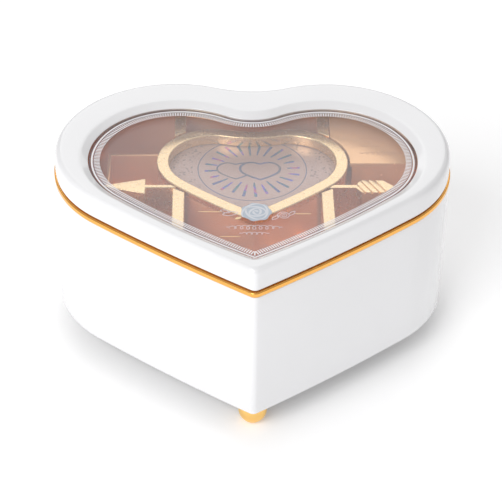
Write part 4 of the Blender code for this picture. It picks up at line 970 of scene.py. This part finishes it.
# --- Lid ---------------------------------------------------------------------------------------
@dataclass
class Lid:
    """Rounded frame, window and the hinges."""

    heart: HeartLine
    opening: HeartLine
    skirt: float = 4.2 * MM
    top_thickness: float = 6.2 * MM
    rounding: float = 4.3 * MM
    bevel: float = 3.8 * MM
    lip: float = 0.6 * MM
    rebate: float = 2.0 * MM
    gap: float = 0.3 * MM

    def build(self) -> None:
        """Model and dress the lid."""
        self.frame()
        self.window()
        for side in ("left", "right"):
            self.hinge(side)

    def frame(self) -> None:
        """The frame, swept round the heart."""
        low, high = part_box("lid_frame")
        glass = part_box("lid_window")[1].z + self.gap
        under = high.z - self.top_thickness
        outer = -self.rebate - self.gap
        loops = self.heart.profile([(0.0, low.z), (0.0, high.z)])
        loops += self.opening.profile([
            (-self.bevel, high.z), (0.0, glass + self.lip), (0.0, glass), (outer, glass),
            (outer, under),
        ])
        loops += self.heart.profile([(self.skirt, under), (self.skirt, low.z)])
        radii = [0.7 * MM, self.rounding, 1.0 * MM, 0.25 * MM, 0.2 * MM, 0.0,
                 0.2 * MM, 0.0, 0.2 * MM]
        frame = smooth(sweep("lid_surround", rounded(loops, radii, 7)), 50.0)
        hand_over(frame, Body.LID, LACQUER, ["lid_frame"])

    def window(self) -> None:
        """The clear plate."""
        low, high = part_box("lid_window")
        reach, soft = -self.rebate, 0.2 * MM
        loops = self.opening.profile([
            (reach + soft, low.z), (reach, low.z + soft),
            (reach, high.z - soft), (reach + soft, high.z)])
        plate = smooth(sweep("window_plate", loops, closed=False))
        hand_over(plate, Body.LID, WINDOW, ["lid_window"])

    def hinge(self, side: str) -> None:
        """Two leaves with broken edges and a pair of screws in each."""
        for part, body in (("case", Body.CASE), ("lid", Body.LID)):
            node = f"hinge_{part}_leaf_{side}"
            leaf = softened(node, 0.12 * MM)
            hand_over(leaf, body, BRASS, [node])
            low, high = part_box(node)
            face = self.heart.y + self.heart.lobe_r + 1.2 * MM
            z = low.z + 2.2 * MM if part == "case" else high.z - 2.2 * MM
            heads = [self.screw_head(Vector(((low.x + high.x) / 2 + dx, face, z)))
                     for dx in (-5.0 * MM, 5.0 * MM)]
            hand_over(join(f"hinge_screws_{part}_{side}", heads), body, STEEL)
        dress(bpy.data.objects[f"hinge_pin_{side}"], STEEL)

    @staticmethod
    def screw_head(spot: Vector) -> bpy.types.Object:
        """A small domed head with a slot, facing +Y."""
        r = 1.1 * MM
        head = spun("head", [(0.0, 0.0), (r, 0.0), (r * 0.92, 0.25 * MM), (r * 0.6, 0.5 * MM),
                             (0.0, 0.6 * MM)], Vector((0.0, 0.0, 0.0)), 20)
        slot = block("slot", Vector((-2 * MM, -0.15 * MM, 0.3 * MM)),
                     Vector((2 * MM, 0.15 * MM, MM)))
        subtract(head, slot)
        head.data.transform(Matrix.Translation(spot) @ Matrix.Rotation(-math.pi / 2, 4, "X"))
        return head


# --- Print on the window -----------------------------------------------------------------------
@dataclass
class WindowPrint:
    """Border lines, ticks and the flower emblem printed on the window."""

    opening: HeartLine
    centre_y: float
    film: float = 0.05 * MM
    dark_inset: float = 0.7 * MM
    dark_width: float = 0.5 * MM
    white_inset: float = 1.7 * MM
    white_width: float = 0.8 * MM
    inner_inset: float = 2.6 * MM
    tick_inset: float = 4.0 * MM
    tick_length: float = 2.6 * MM
    tick_width: float = 0.6 * MM
    tick_pitch: float = 1.15 * MM
    rose_at: tuple[float, float] = (1.0 * MM, -48.5 * MM)
    rose_radius: float = 6.8 * MM

    def build(self) -> None:
        """Model and dress the print."""
        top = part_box("lid_window")[1].z + 0.01 * MM
        self.border(top)
        self.rose(top)
        self.sprays(top)

    def border(self, z: float) -> None:
        """Three lines round the window and the row of ticks inside them."""
        dark = Ink("border_brown_ink", (0.15, 0.10, 0.11), 0.4)
        white = Ink("border_white_ink", (0.92, 0.92, 0.95), 0.4)
        fine = Ink("border_grey_ink", (0.42, 0.40, 0.46), 0.4, 0.9)
        for name, inset, width, finish in (
                ("border_dark_line", self.dark_inset, self.dark_width, dark),
                ("border_white_line", self.white_inset, self.white_width, white),
                ("border_fine_line", self.inner_inset, 0.25 * MM, fine)):
            line = self.opening.points(inset, z)
            obj = ribbon(name, line, [width] * len(line), self.film, closed=True)
            hand_over(obj, Body.LID, finish)
        tick = block("tick", Vector((-self.tick_width / 2, -self.tick_length / 2, 0.0)),
                     Vector((self.tick_width / 2, self.tick_length / 2, self.film)))
        ticks = repeated("border_ticks", tick,
                         self.opening.marks(self.tick_inset, self.tick_pitch, z))
        hand_over(ticks, Body.LID, white)

    def rose(self, z: float) -> None:
        """A full flower: a wavering spiral of petals inside a ring of crescents."""
        x0, y0 = self.rose_at[0], self.centre_y + self.rose_at[1]
        blue = Ink("rose_blue_ink", (0.50, 0.56, 0.64), 0.4)
        pale = Ink("rose_pale_ink", (0.72, 0.74, 0.79), 0.4)
        bed = []
        for i in range(72):
            angle = TAU * i / 72
            reach = self.rose_radius * (0.97 + 0.05 * math.cos(7 * angle))
            bed.append(Vector((x0 + reach * math.cos(angle), y0 + reach * math.sin(angle), z)))
        low = sweep("rose_bed", [bed, [p + Vector((0, 0, self.film)) for p in bed]],
                    closed=False)
        hand_over(low, Body.LID, blue)
        line, widths = [], []
        turns, steps = 3.6, 150
        for i in range(steps + 1):
            t = i / steps
            angle = TAU * turns * t
            reach = (0.5 * MM + (self.rose_radius - 1.0 * MM) * t)
            reach *= 1 + 0.10 * math.cos(2.5 * angle)
            line.append(Vector((x0 + reach * math.cos(angle), y0 + reach * math.sin(angle),
                                z + self.film)))
            widths.append((0.35 + 0.75 * abs(math.sin(1.25 * angle))) * MM)
        petals = ribbon("rose_petals", line, widths, self.film)
        hand_over(petals, Body.LID, pale)

    def sprays(self, z: float) -> None:
        """Line-drawn bud, leaves, rules and a scroll under the rose."""
        line_ink = Ink("spray_ink", (0.80, 0.72, 0.76), 0.4)
        gold_ink = Ink("rule_gold_ink", (0.95, 0.72, 0.42), 0.35)
        thin = 0.28 * MM
        y0 = self.centre_y
        bud = []
        for i in range(70):
            t = i / 69
            angle = TAU * 2.6 * t
            reach = (0.3 + 2.6 * t) * MM
            bud.append(Vector((13.0 * MM + reach * math.cos(angle),
                               y0 - 51.0 * MM + reach * math.sin(angle), z)))
        pieces = [ribbon("bud", bud, [thin] * len(bud), self.film)]
        for x, y, turn, size in ((-10.4, -49.6, 0.25, 3.4), (-12.6, -48.0, -0.4, 2.2),
                                 (16.6, -49.4, 0.9, 2.0), (9.3, -52.6, -2.4, 2.0)):
            pieces.append(self.leaf(x * MM, y0 + y * MM, turn, size * MM, z, thin))
        for row, (y, reach, waves) in enumerate(((-59.8, 12.2, 9), (-64.2, 6.5, 6))):
            scroll, steps = [], 160
            for i in range(steps):
                t = i / (steps - 1)
                angle = TAU * waves * t
                swell = math.sin(math.pi * t) ** 0.5 * (1.5 - 0.7 * row)
                across = (2 * t - 1) * reach * MM + swell * 0.9 * MM * math.sin(angle)
                scroll.append(Vector((across, y0 + y * MM + swell * MM * math.cos(angle), z)))
            pieces.append(ribbon(f"scroll_{row}", scroll, [thin * 0.9] * len(scroll), self.film))
        hand_over(join("spray_lines", pieces), Body.LID, line_ink)
        rules = []
        for x0, x1, y in ((-24.4, -13.4, -48.3), (17.6, 25.0, -49.7), (-15.0, -6.0, -66.6)):
            line = [Vector(((x0 + (x1 - x0) * i / 6) * MM, y0 + y * MM, z)) for i in range(7)]
            rules.append(ribbon("rule", line, [0.12 * MM, *[0.4 * MM] * 5, 0.12 * MM], self.film))
        leaf = []
        for i in range(9):
            leaf.append(Vector(((-8.4 + 2.9 * i / 8) * MM, y0 + (-53.8 + 1.5 * i / 8) * MM, z)))
        rules.append(ribbon("gold_leaf", leaf, [0.1 * MM + 1.5 * MM * math.sin(math.pi * i / 8)
                                               for i in range(9)], self.film))
        hand_over(join("gold_rules", rules), Body.LID, gold_ink)

    def leaf(self, x: float, y: float, turn: float, size: float, z: float,
             width: float) -> bpy.types.Object:
        """The outline of one leaf."""
        line = []
        for i in range(24):
            angle = TAU * i / 24
            along = size * math.cos(angle)
            across = size * 0.42 * math.sin(angle) * (1 - 0.5 * abs(math.cos(angle)) ** 3)
            line.append(Vector((x + along * math.cos(turn) - across * math.sin(turn),
                                y + along * math.sin(turn) + across * math.cos(turn), z)))
        return ribbon("leaf", line, [width] * len(line), self.film, closed=True)


# --- Tray --------------------------------------------------------------------------------------
@dataclass
class Tray:
    """Gilt pan, ring, rails, arrow, plate and the mirror with its foil picture."""

    case: HeartLine
    ring: HeartLine
    inset: float = 11.0 * MM
    draft: float = 1.5 * MM
    wall: float = 1.4 * MM
    seat: float = 3.5 * MM
    tower: float = 0.6 * MM
    ring_width: float = 5.6 * MM
    ring_thickness: float = 3.0 * MM
    film: float = 0.04 * MM

    def build(self) -> None:
        """Model and dress the tray."""
        self.pan()
        self.frame()
        self.rails()
        self.mirror()

    def pan(self) -> None:
        """Flange, wall, floor and the tower under the ring, in one moulding."""
        low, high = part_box("tray_pan")
        floor = low.z + self.wall
        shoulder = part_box("heart_ring")[1].z - self.ring_thickness - 0.3 * MM
        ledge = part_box("heart_mirror")[0].z - 0.3 * MM
        inner = self.ring_width - 0.4 * MM
        tower = self.tower
        corners = [
            (self.case, self.seat, high.z - self.wall, 0.0),
            (self.case, self.seat, high.z, 0.2),
            (self.case, self.inset, high.z, 0.5),
            (self.case, self.inset + self.draft, floor, 1.2),
            (self.ring, -tower, floor, 0.9),
            (self.ring, tower, shoulder, 0.3),
            (self.ring, tower + self.wall, shoulder, 0.3),
            (self.ring, tower + self.wall, ledge, 0.0),
            (self.ring, inner, ledge, 0.0),
            (self.ring, inner, ledge - self.wall, 0.0),
            (self.ring, tower + self.wall, ledge - self.wall, 0.0),
            (self.ring, self.wall - tower, low.z, 0.0),
            (self.case, self.inset - self.wall + self.draft, low.z, 0.5),
            (self.case, self.inset - self.wall, high.z - self.wall, 0.0),
        ]
        loops = [heart.points(inset, z) for heart, inset, z, _ in corners]
        radii = [radius * MM for *_, radius in corners]
        pan = sweep("tray_moulding", rounded(loops, radii))
        rod_low, rod_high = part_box("stop_rod")
        rod = (rod_low + rod_high) / 2
        clear_selection()
        bpy.ops.mesh.primitive_cylinder_add(vertices=24, radius=1.1 * MM, depth=6 * MM,
                                            location=(rod.x, rod.y, high.z))
        subtract(pan, place_fixed(named("rod_hole")))
        hand_over(smooth(pan), Body.CASE, TRAY_GILT, ["tray_pan"])

    def frame(self) -> None:
        """The raised heart ring."""
        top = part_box("heart_ring")[1].z
        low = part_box("heart_ring")[0].z
        step = self.wall * 2
        loops = self.ring.profile([
            (0.0, top - self.ring_thickness), (0.0, top), (self.ring_width, top),
            (self.ring_width, low), (step, low), (step, top - self.ring_thickness)])
        radii = [0.3 * MM, 0.7 * MM, 0.7 * MM, 0.3 * MM, 0.0, 0.0]
        ring = smooth(sweep("ring_frame", rounded(loops, radii, 5)))
        hand_over(ring, Body.CASE, RAIL_GILT, ["heart_ring"])

    def rails(self) -> None:
        """Dividers, arrow, plate and partition with soft edges."""
        # The message plate takes the gilt whose colour carries a painted reflection of the tray
        # wall.
        others = {"left_partition": TRAY_GILT, "message_plate": PLATE_GILT_PAINTED_REFLECTION}
        for node in ("divider_front_left", "divider_front_right", "divider_rear_left",
                     "divider_rear_right", "arrow_head", "left_partition", "message_plate"):
            piece = softened(node, 0.45 * MM, 3)
            hand_over(piece, Body.CASE, others.get(node, RAIL_GILT), [node])
        self.feathers()
        self.plate_print()

    def feathers(self) -> None:
        """The arrow's tail with slanting cuts across its feathers."""
        low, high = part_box("arrow_tail")
        tail = softened("arrow_tail", 0.0)
        middle = (low.y + high.y) / 2
        for k in range(4):
            x = high.x - (6.2 + 3.3 * k) * MM
            cut = block("cut", Vector((-0.3 * MM, -6 * MM, -0.9 * MM)),
                        Vector((0.3 * MM, 6 * MM, MM)))
            cut.data.transform(Matrix.Translation((x, middle, high.z))
                               @ Matrix.Rotation(math.radians(28.0), 4, "Z"))
            subtract(tail, cut)
        apply_modifier(tail, "BEVEL", width=0.18 * MM, segments=2, limit_method="ANGLE",
                       angle_limit=math.radians(40.0))
        hand_over(smooth(tail), Body.CASE, RAIL_GILT, ["arrow_tail"])

    def plate_print(self) -> None:
        """An envelope and a scroll printed on the plate."""
        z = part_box("message_plate")[1].z + 0.01 * MM
        ink = Ink("plate_ink", (0.55, 0.30, 0.16), 0.5)
        x, y, w, h = 54.9 * MM, self.case.y + 19.5 * MM, 4.2 * MM, 3.4 * MM
        frame = [Vector((x + sx * w, y + sy * h, z))
                 for sx, sy in ((-1, -1), (1, -1), (1, 1), (-1, 1))]
        flap = [Vector((x - w, y + h, z)), Vector((x, y - 0.2 * h, z)), Vector((x + w, y + h, z))]
        pieces = [ribbon("envelope", frame, [0.3 * MM] * 4, self.film, closed=True),
                  ribbon("flap", flap, [0.3 * MM] * 3, self.film)]
        scroll, steps, waves = [], 140, 8
        for i in range(steps):
            t = i / (steps - 1)
            angle = TAU * waves * t
            rise = 10.2 + 1.2 * math.cos(angle) * math.sin(math.pi * t)
            scroll.append(Vector(((49.5 + 20.0 * t) * MM + MM * math.sin(angle),
                                  self.case.y + rise * MM, z)))
        pieces.append(ribbon("scroll", scroll, [0.28 * MM] * steps, self.film))
        hand_over(join("plate_picture", pieces), Body.CASE, ink)

    def mirror(self) -> None:
        """The tinted mirror and its foil picture."""
        low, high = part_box("heart_mirror")
        inset = self.wall * 2
        loops = self.ring.profile([(inset, low.z), (inset, high.z - 0.1 * MM),
                                   (inset + 0.1 * MM, high.z)])
        plate = smooth(sweep("mirror_plate", loops, closed=False))
        silver = SilverMirror("tinted_mirror", (0.57, 0.42, 0.38), 0.28, centre_y=self.ring.y)
        hand_over(plate, Body.CASE, silver, ["heart_mirror"])
        FoilPicture(self.ring.y + 0.6 * MM, high.z + 0.01 * MM).build()


@dataclass
class FoilPicture:
    """Holographic foil on the mirror: two hearts, a burst of rays and a circle."""

    centre_y: float
    z: float
    film: float = 0.04 * MM
    circle: float = 25.0 * MM
    ray_end: float = 22.0 * MM
    rays: int = 24

    def build(self) -> None:
        """Model and dress the picture."""
        foil = Hologram("ray_foil", (0.12, 0.18, 0.28), 0.3)
        line_foil = Hologram("line_foil", (0.16, 0.20, 0.30), 0.35, (
            (0.35, (0.20, 0.20, 0.24)), (0.55, (0.13, 0.17, 0.28)), (0.7, (0.22, 0.22, 0.40))))
        circle = [Vector((self.circle * math.cos(TAU * i / 128),
                          self.centre_y + self.circle * math.sin(TAU * i / 128), self.z))
                  for i in range(128)]
        ring = ribbon("foil_circle", circle, [0.5 * MM] * 128, self.film, closed=True)
        hand_over(ring, Body.CASE, line_foil)
        hand_over(join("foil_rays", [self.ray(i) for i in range(self.rays)]), Body.CASE, foil)
        hearts = [self.heart(3.6 * MM, -0.6 * MM, 9.2 * MM, 1.2 * MM),
                  self.heart(-7.6 * MM, -0.6 * MM, 8.6 * MM, 0.85 * MM, 3.6 * MM)]
        hand_over(join("foil_hearts", hearts), Body.CASE, line_foil)

    def ray(self, number: int) -> bpy.types.Object:
        """One ray: a bar that widens outwards and has a slanting end."""
        angle = TAU * (number + 0.25) / self.rays
        start = 1 / math.hypot(math.cos(angle) / (16.2 * MM), math.sin(angle) / (11.6 * MM))
        start += 1.2 * MM * math.sin(3.1 * number)
        end = self.ray_end - 1.4 * MM * (number % 3 == 1)
        line = [Vector((math.cos(angle) * r, self.centre_y + math.sin(angle) * r, self.z))
                for r in (start, (start + end) / 2, end)]
        return ribbon("ray", line, [0.7 * MM, 1.2 * MM, 1.35 * MM], self.film)

    def heart(self, x: float, y: float, half: float, width: float,
              hide_from: Optional[float] = None) -> bpy.types.Object:
        """The outline of a small heart, open where another heart covers it."""
        shape = HeartLine(half, half * 0.56, half * 0.95, half * 3.2, half * 0.25, 0.3 * MM,
                          self.centre_y + y + half * 0.12, 14, 6, 4, 2)
        line = [p + Vector((x, 0.0, self.z)) for p in shape.points()]
        if hide_from is None:
            return ribbon("heart", line, [width] * len(line), self.film, closed=True)
        cover = HeartLine(9.2 * MM, 5.15 * MM, 8.74 * MM, 29.4 * MM, 2.3 * MM, 0.3 * MM,
                          self.centre_y - 0.6 * MM + 1.1 * MM, 14, 6, 4, 2)
        edge = [p + Vector((3.6 * MM, 0.0, 0.0)) for p in cover.points()]
        count = len(line)
        free = [not inside(edge, p) for p in line]
        start = next(i for i in range(count) if free[i] and not free[i - 1])
        kept = []
        for k in range(count):
            i = (start + k) % count
            if not free[i]:
                break
            kept.append(line[i])
        return ribbon("heart_behind", kept, [width] * len(kept), self.film)


def inside(loop: Loop, point: Vector) -> bool:
    """Whether a point lies in a flat loop."""
    hit = False
    for a, b in zip(loop, loop[1:] + loop[:1]):
        if (a.y > point.y) != (b.y > point.y):
            if point.x < a.x + (b.x - a.x) * (point.y - a.y) / (b.y - a.y):
                hit = not hit
    return hit


# --- Movement ----------------------------------------------------------------------------------
@dataclass
class Movement:
    """Slotted screws, tune pins and the finishes of the works."""

    pins: int = 170
    pin_height: float = 0.6 * MM
    notes: int = 18

    def build(self) -> None:
        """Dress the movement."""
        finishes = {
            BRASS: ("spring_barrel", "barrel_cover", "crown_wheel", "cylinder",
                    "cylinder_pinion", "cylinder_wheel"),
            STEEL: ("winding_arbor", "cylinder_arbor", "idler_arbor", "governor_worm",
                    "stop_rod", "stop_lever"),
            SPRING: ("mainspring",),
            ZINC: ("bedplate", "cylinder_bearing", "idler_bearing", "governor_frame",
                   "comb_support", "lever_post", "rod_guide"),
            NYLON: ("worm_wheel", "governor_fan"),
        }
        for finish, nodes in finishes.items():
            for node in nodes:
                dress(bpy.data.objects[node], finish)
        comb = softened("comb", 0.06 * MM, 1)
        hand_over(comb, Body.CASE, STEEL, ["comb"])
        key = softened("winding_key", 0.3 * MM)
        hand_over(key, Body.WINDER, BRASS, ["winding_key"])
        self.tune()
        for node in ("base_screw_left", "base_screw_right", "base_screw_cleft",
                     "movement_screw_1", "movement_screw_2", "movement_screw_3"):
            self.slotted(node, below=True)
        for node in ("comb_screw_1", "comb_screw_2", "foot_screw_front", "foot_screw_left",
                     "foot_screw_right"):
            self.slotted(node, below=False)

    @staticmethod
    def slotted(node: str, below: bool) -> None:
        """A screw with a driver slot cut across its head."""
        low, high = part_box(node)
        middle = (low + high) / 2
        screw = softened(node, 0.0)
        head = low.z if below else high.z
        cut = block("slot", Vector((middle.x - 4 * MM, middle.y - 0.3 * MM, head - 0.6 * MM)),
                    Vector((middle.x + 4 * MM, middle.y + 0.3 * MM, head + 0.6 * MM)))
        subtract(screw, cut)
        apply_modifier(screw, "BEVEL", width=0.08 * MM, segments=1, limit_method="ANGLE",
                       angle_limit=math.radians(50.0))
        hand_over(smooth(screw), Body.CASE, STEEL, [node])

    def tune(self) -> None:
        """Pins on the cylinder, in eighteen tracks."""
        low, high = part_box("cylinder")
        axis = (low + high) / 2
        radius = (high.z - low.z) / 2
        clear_selection()
        bpy.ops.mesh.primitive_cone_add(vertices=6, radius1=0.16 * MM, radius2=0.09 * MM,
                                        depth=self.pin_height + 0.2 * MM)
        pin = place_fixed(named("pin"))
        places = []
        pitch = (high.x - low.x) / self.notes
        for i in range(self.pins):
            track = int(noise.cell(Vector((i * 1.7, 3.1, 0.0))) * 997) % self.notes
            angle = TAU * i / self.pins
            reach = radius + self.pin_height / 2 - 0.1 * MM
            spot = Vector((low.x + (track + 0.5) * pitch, axis.y + reach * math.sin(angle),
                           axis.z + reach * math.cos(angle)))
            places.append(Matrix.Translation(spot) @ Matrix.Rotation(-angle, 4, "X"))
        hand_over(repeated("tune_pins", pin, places), Body.CYLINDER, STEEL)


# --- Studio ------------------------------------------------------------------------------------
@dataclass
class Studio:
    """Pale floor, soft light and the camera."""

    target: Vector
    azimuth: float = math.radians(-1.19)
    elevation: float = math.radians(36.35)
    roll: float = math.radians(0.84)
    distance: float = 0.888
    lens: float = 147.4
    shift: tuple[float, float] = (-0.0065, -0.0269)

    def build(self) -> None:
        """Set up the studio."""
        self.floor()
        self.lights()
        self.camera()

    @staticmethod
    def floor() -> None:
        """A wide pale sheet that the feet stand on."""
        clear_selection()
        bpy.ops.mesh.primitive_plane_add(size=8.0, location=(0.0, 0.0, 0.0))
        floor = named("studio_floor")
        paper = Paper("studio_paper", (0.95, 0.95, 0.955), 0.8)
        dress(floor, paper)

    @staticmethod
    def lights() -> None:
        """A bright room, a broad key from the left and a low fill."""
        world = bpy.data.worlds.new("studio")
        bpy.context.scene.world = world
        world.use_nodes = True
        backdrop = world.node_tree.nodes["Background"]
        backdrop.inputs["Color"].default_value = (1.0, 0.995, 0.99, 1.0)
        backdrop.inputs["Strength"].default_value = 0.5
        for name, spot, aim, size, power in (
                ("key", (-0.85, -1.2, 1.2), (0.0, 0.0, 0.05), 1.1, 19.0),
                ("back", (0.0, 1.5, 1.2), (0.0, 0.0, 0.05), 1.7, 8.8)):
            lamp = bpy.data.lights.new(name, "AREA")
            lamp.energy = power
            lamp.size = size
            obj = bpy.data.objects.new(name, lamp)
            bpy.context.scene.collection.objects.link(obj)
            obj.location = spot
            aim_along = Vector(aim) - Vector(spot)
            obj.rotation_euler = aim_along.to_track_quat("-Z", "Y").to_euler()
        bpy.context.scene.view_settings.view_transform = "Standard"

    def camera(self) -> None:
        """A long lens from the front and above."""
        away = Vector((math.sin(self.azimuth) * math.cos(self.elevation),
                       -math.cos(self.azimuth) * math.cos(self.elevation),
                       math.sin(self.elevation)))
        lens = bpy.data.cameras.new("camera")
        lens.lens = self.lens
        lens.sensor_width = 36.0
        lens.shift_x, lens.shift_y = self.shift
        lens.clip_start = 0.01
        camera = bpy.data.objects.new("camera", lens)
        bpy.context.scene.collection.objects.link(camera)
        camera.location = self.target + away * self.distance
        turn = (-away).to_track_quat("-Z", "Y")
        camera.rotation_euler = (turn.to_matrix() @ Matrix.Rotation(self.roll, 3, "Z")).to_euler()
        bpy.context.scene.camera = camera


def main() -> None:
    """Build the music box round its frame."""
    logging.basicConfig(level=logging.INFO, format="%(message)s")
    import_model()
    low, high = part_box("case_body")
    case = HeartLine(high.x, 54.0 * MM, 95.0 * MM, 900.0 * MM, 55.0 * MM, 3.0 * MM,
                     high.y - 54.0 * MM)
    ring_low, ring_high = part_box("heart_ring")
    ring = HeartLine(ring_high.x, 26.6 * MM, 47.0 * MM, 260.0 * MM, 45.0 * MM, 1.5 * MM,
                     ring_high.y - 26.6 * MM)
    Case(case).build()
    opening = HeartLine(case.half_width - 15.5 * MM, 41.0 * MM, 76.0 * MM, 400.0 * MM,
                        24.0 * MM, 2.0 * MM, case.y - 7.5 * MM)
    Lid(case, opening).build()
    WindowPrint(opening, case.y).build()
    Tray(case, ring).build()
    Movement().build()
    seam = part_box("trim_band")[1].z
    Studio(Vector((0.0, case.y - 62.3 * MM, seam + 5.4 * MM))).build()


if __name__ == "__main__":
    main()
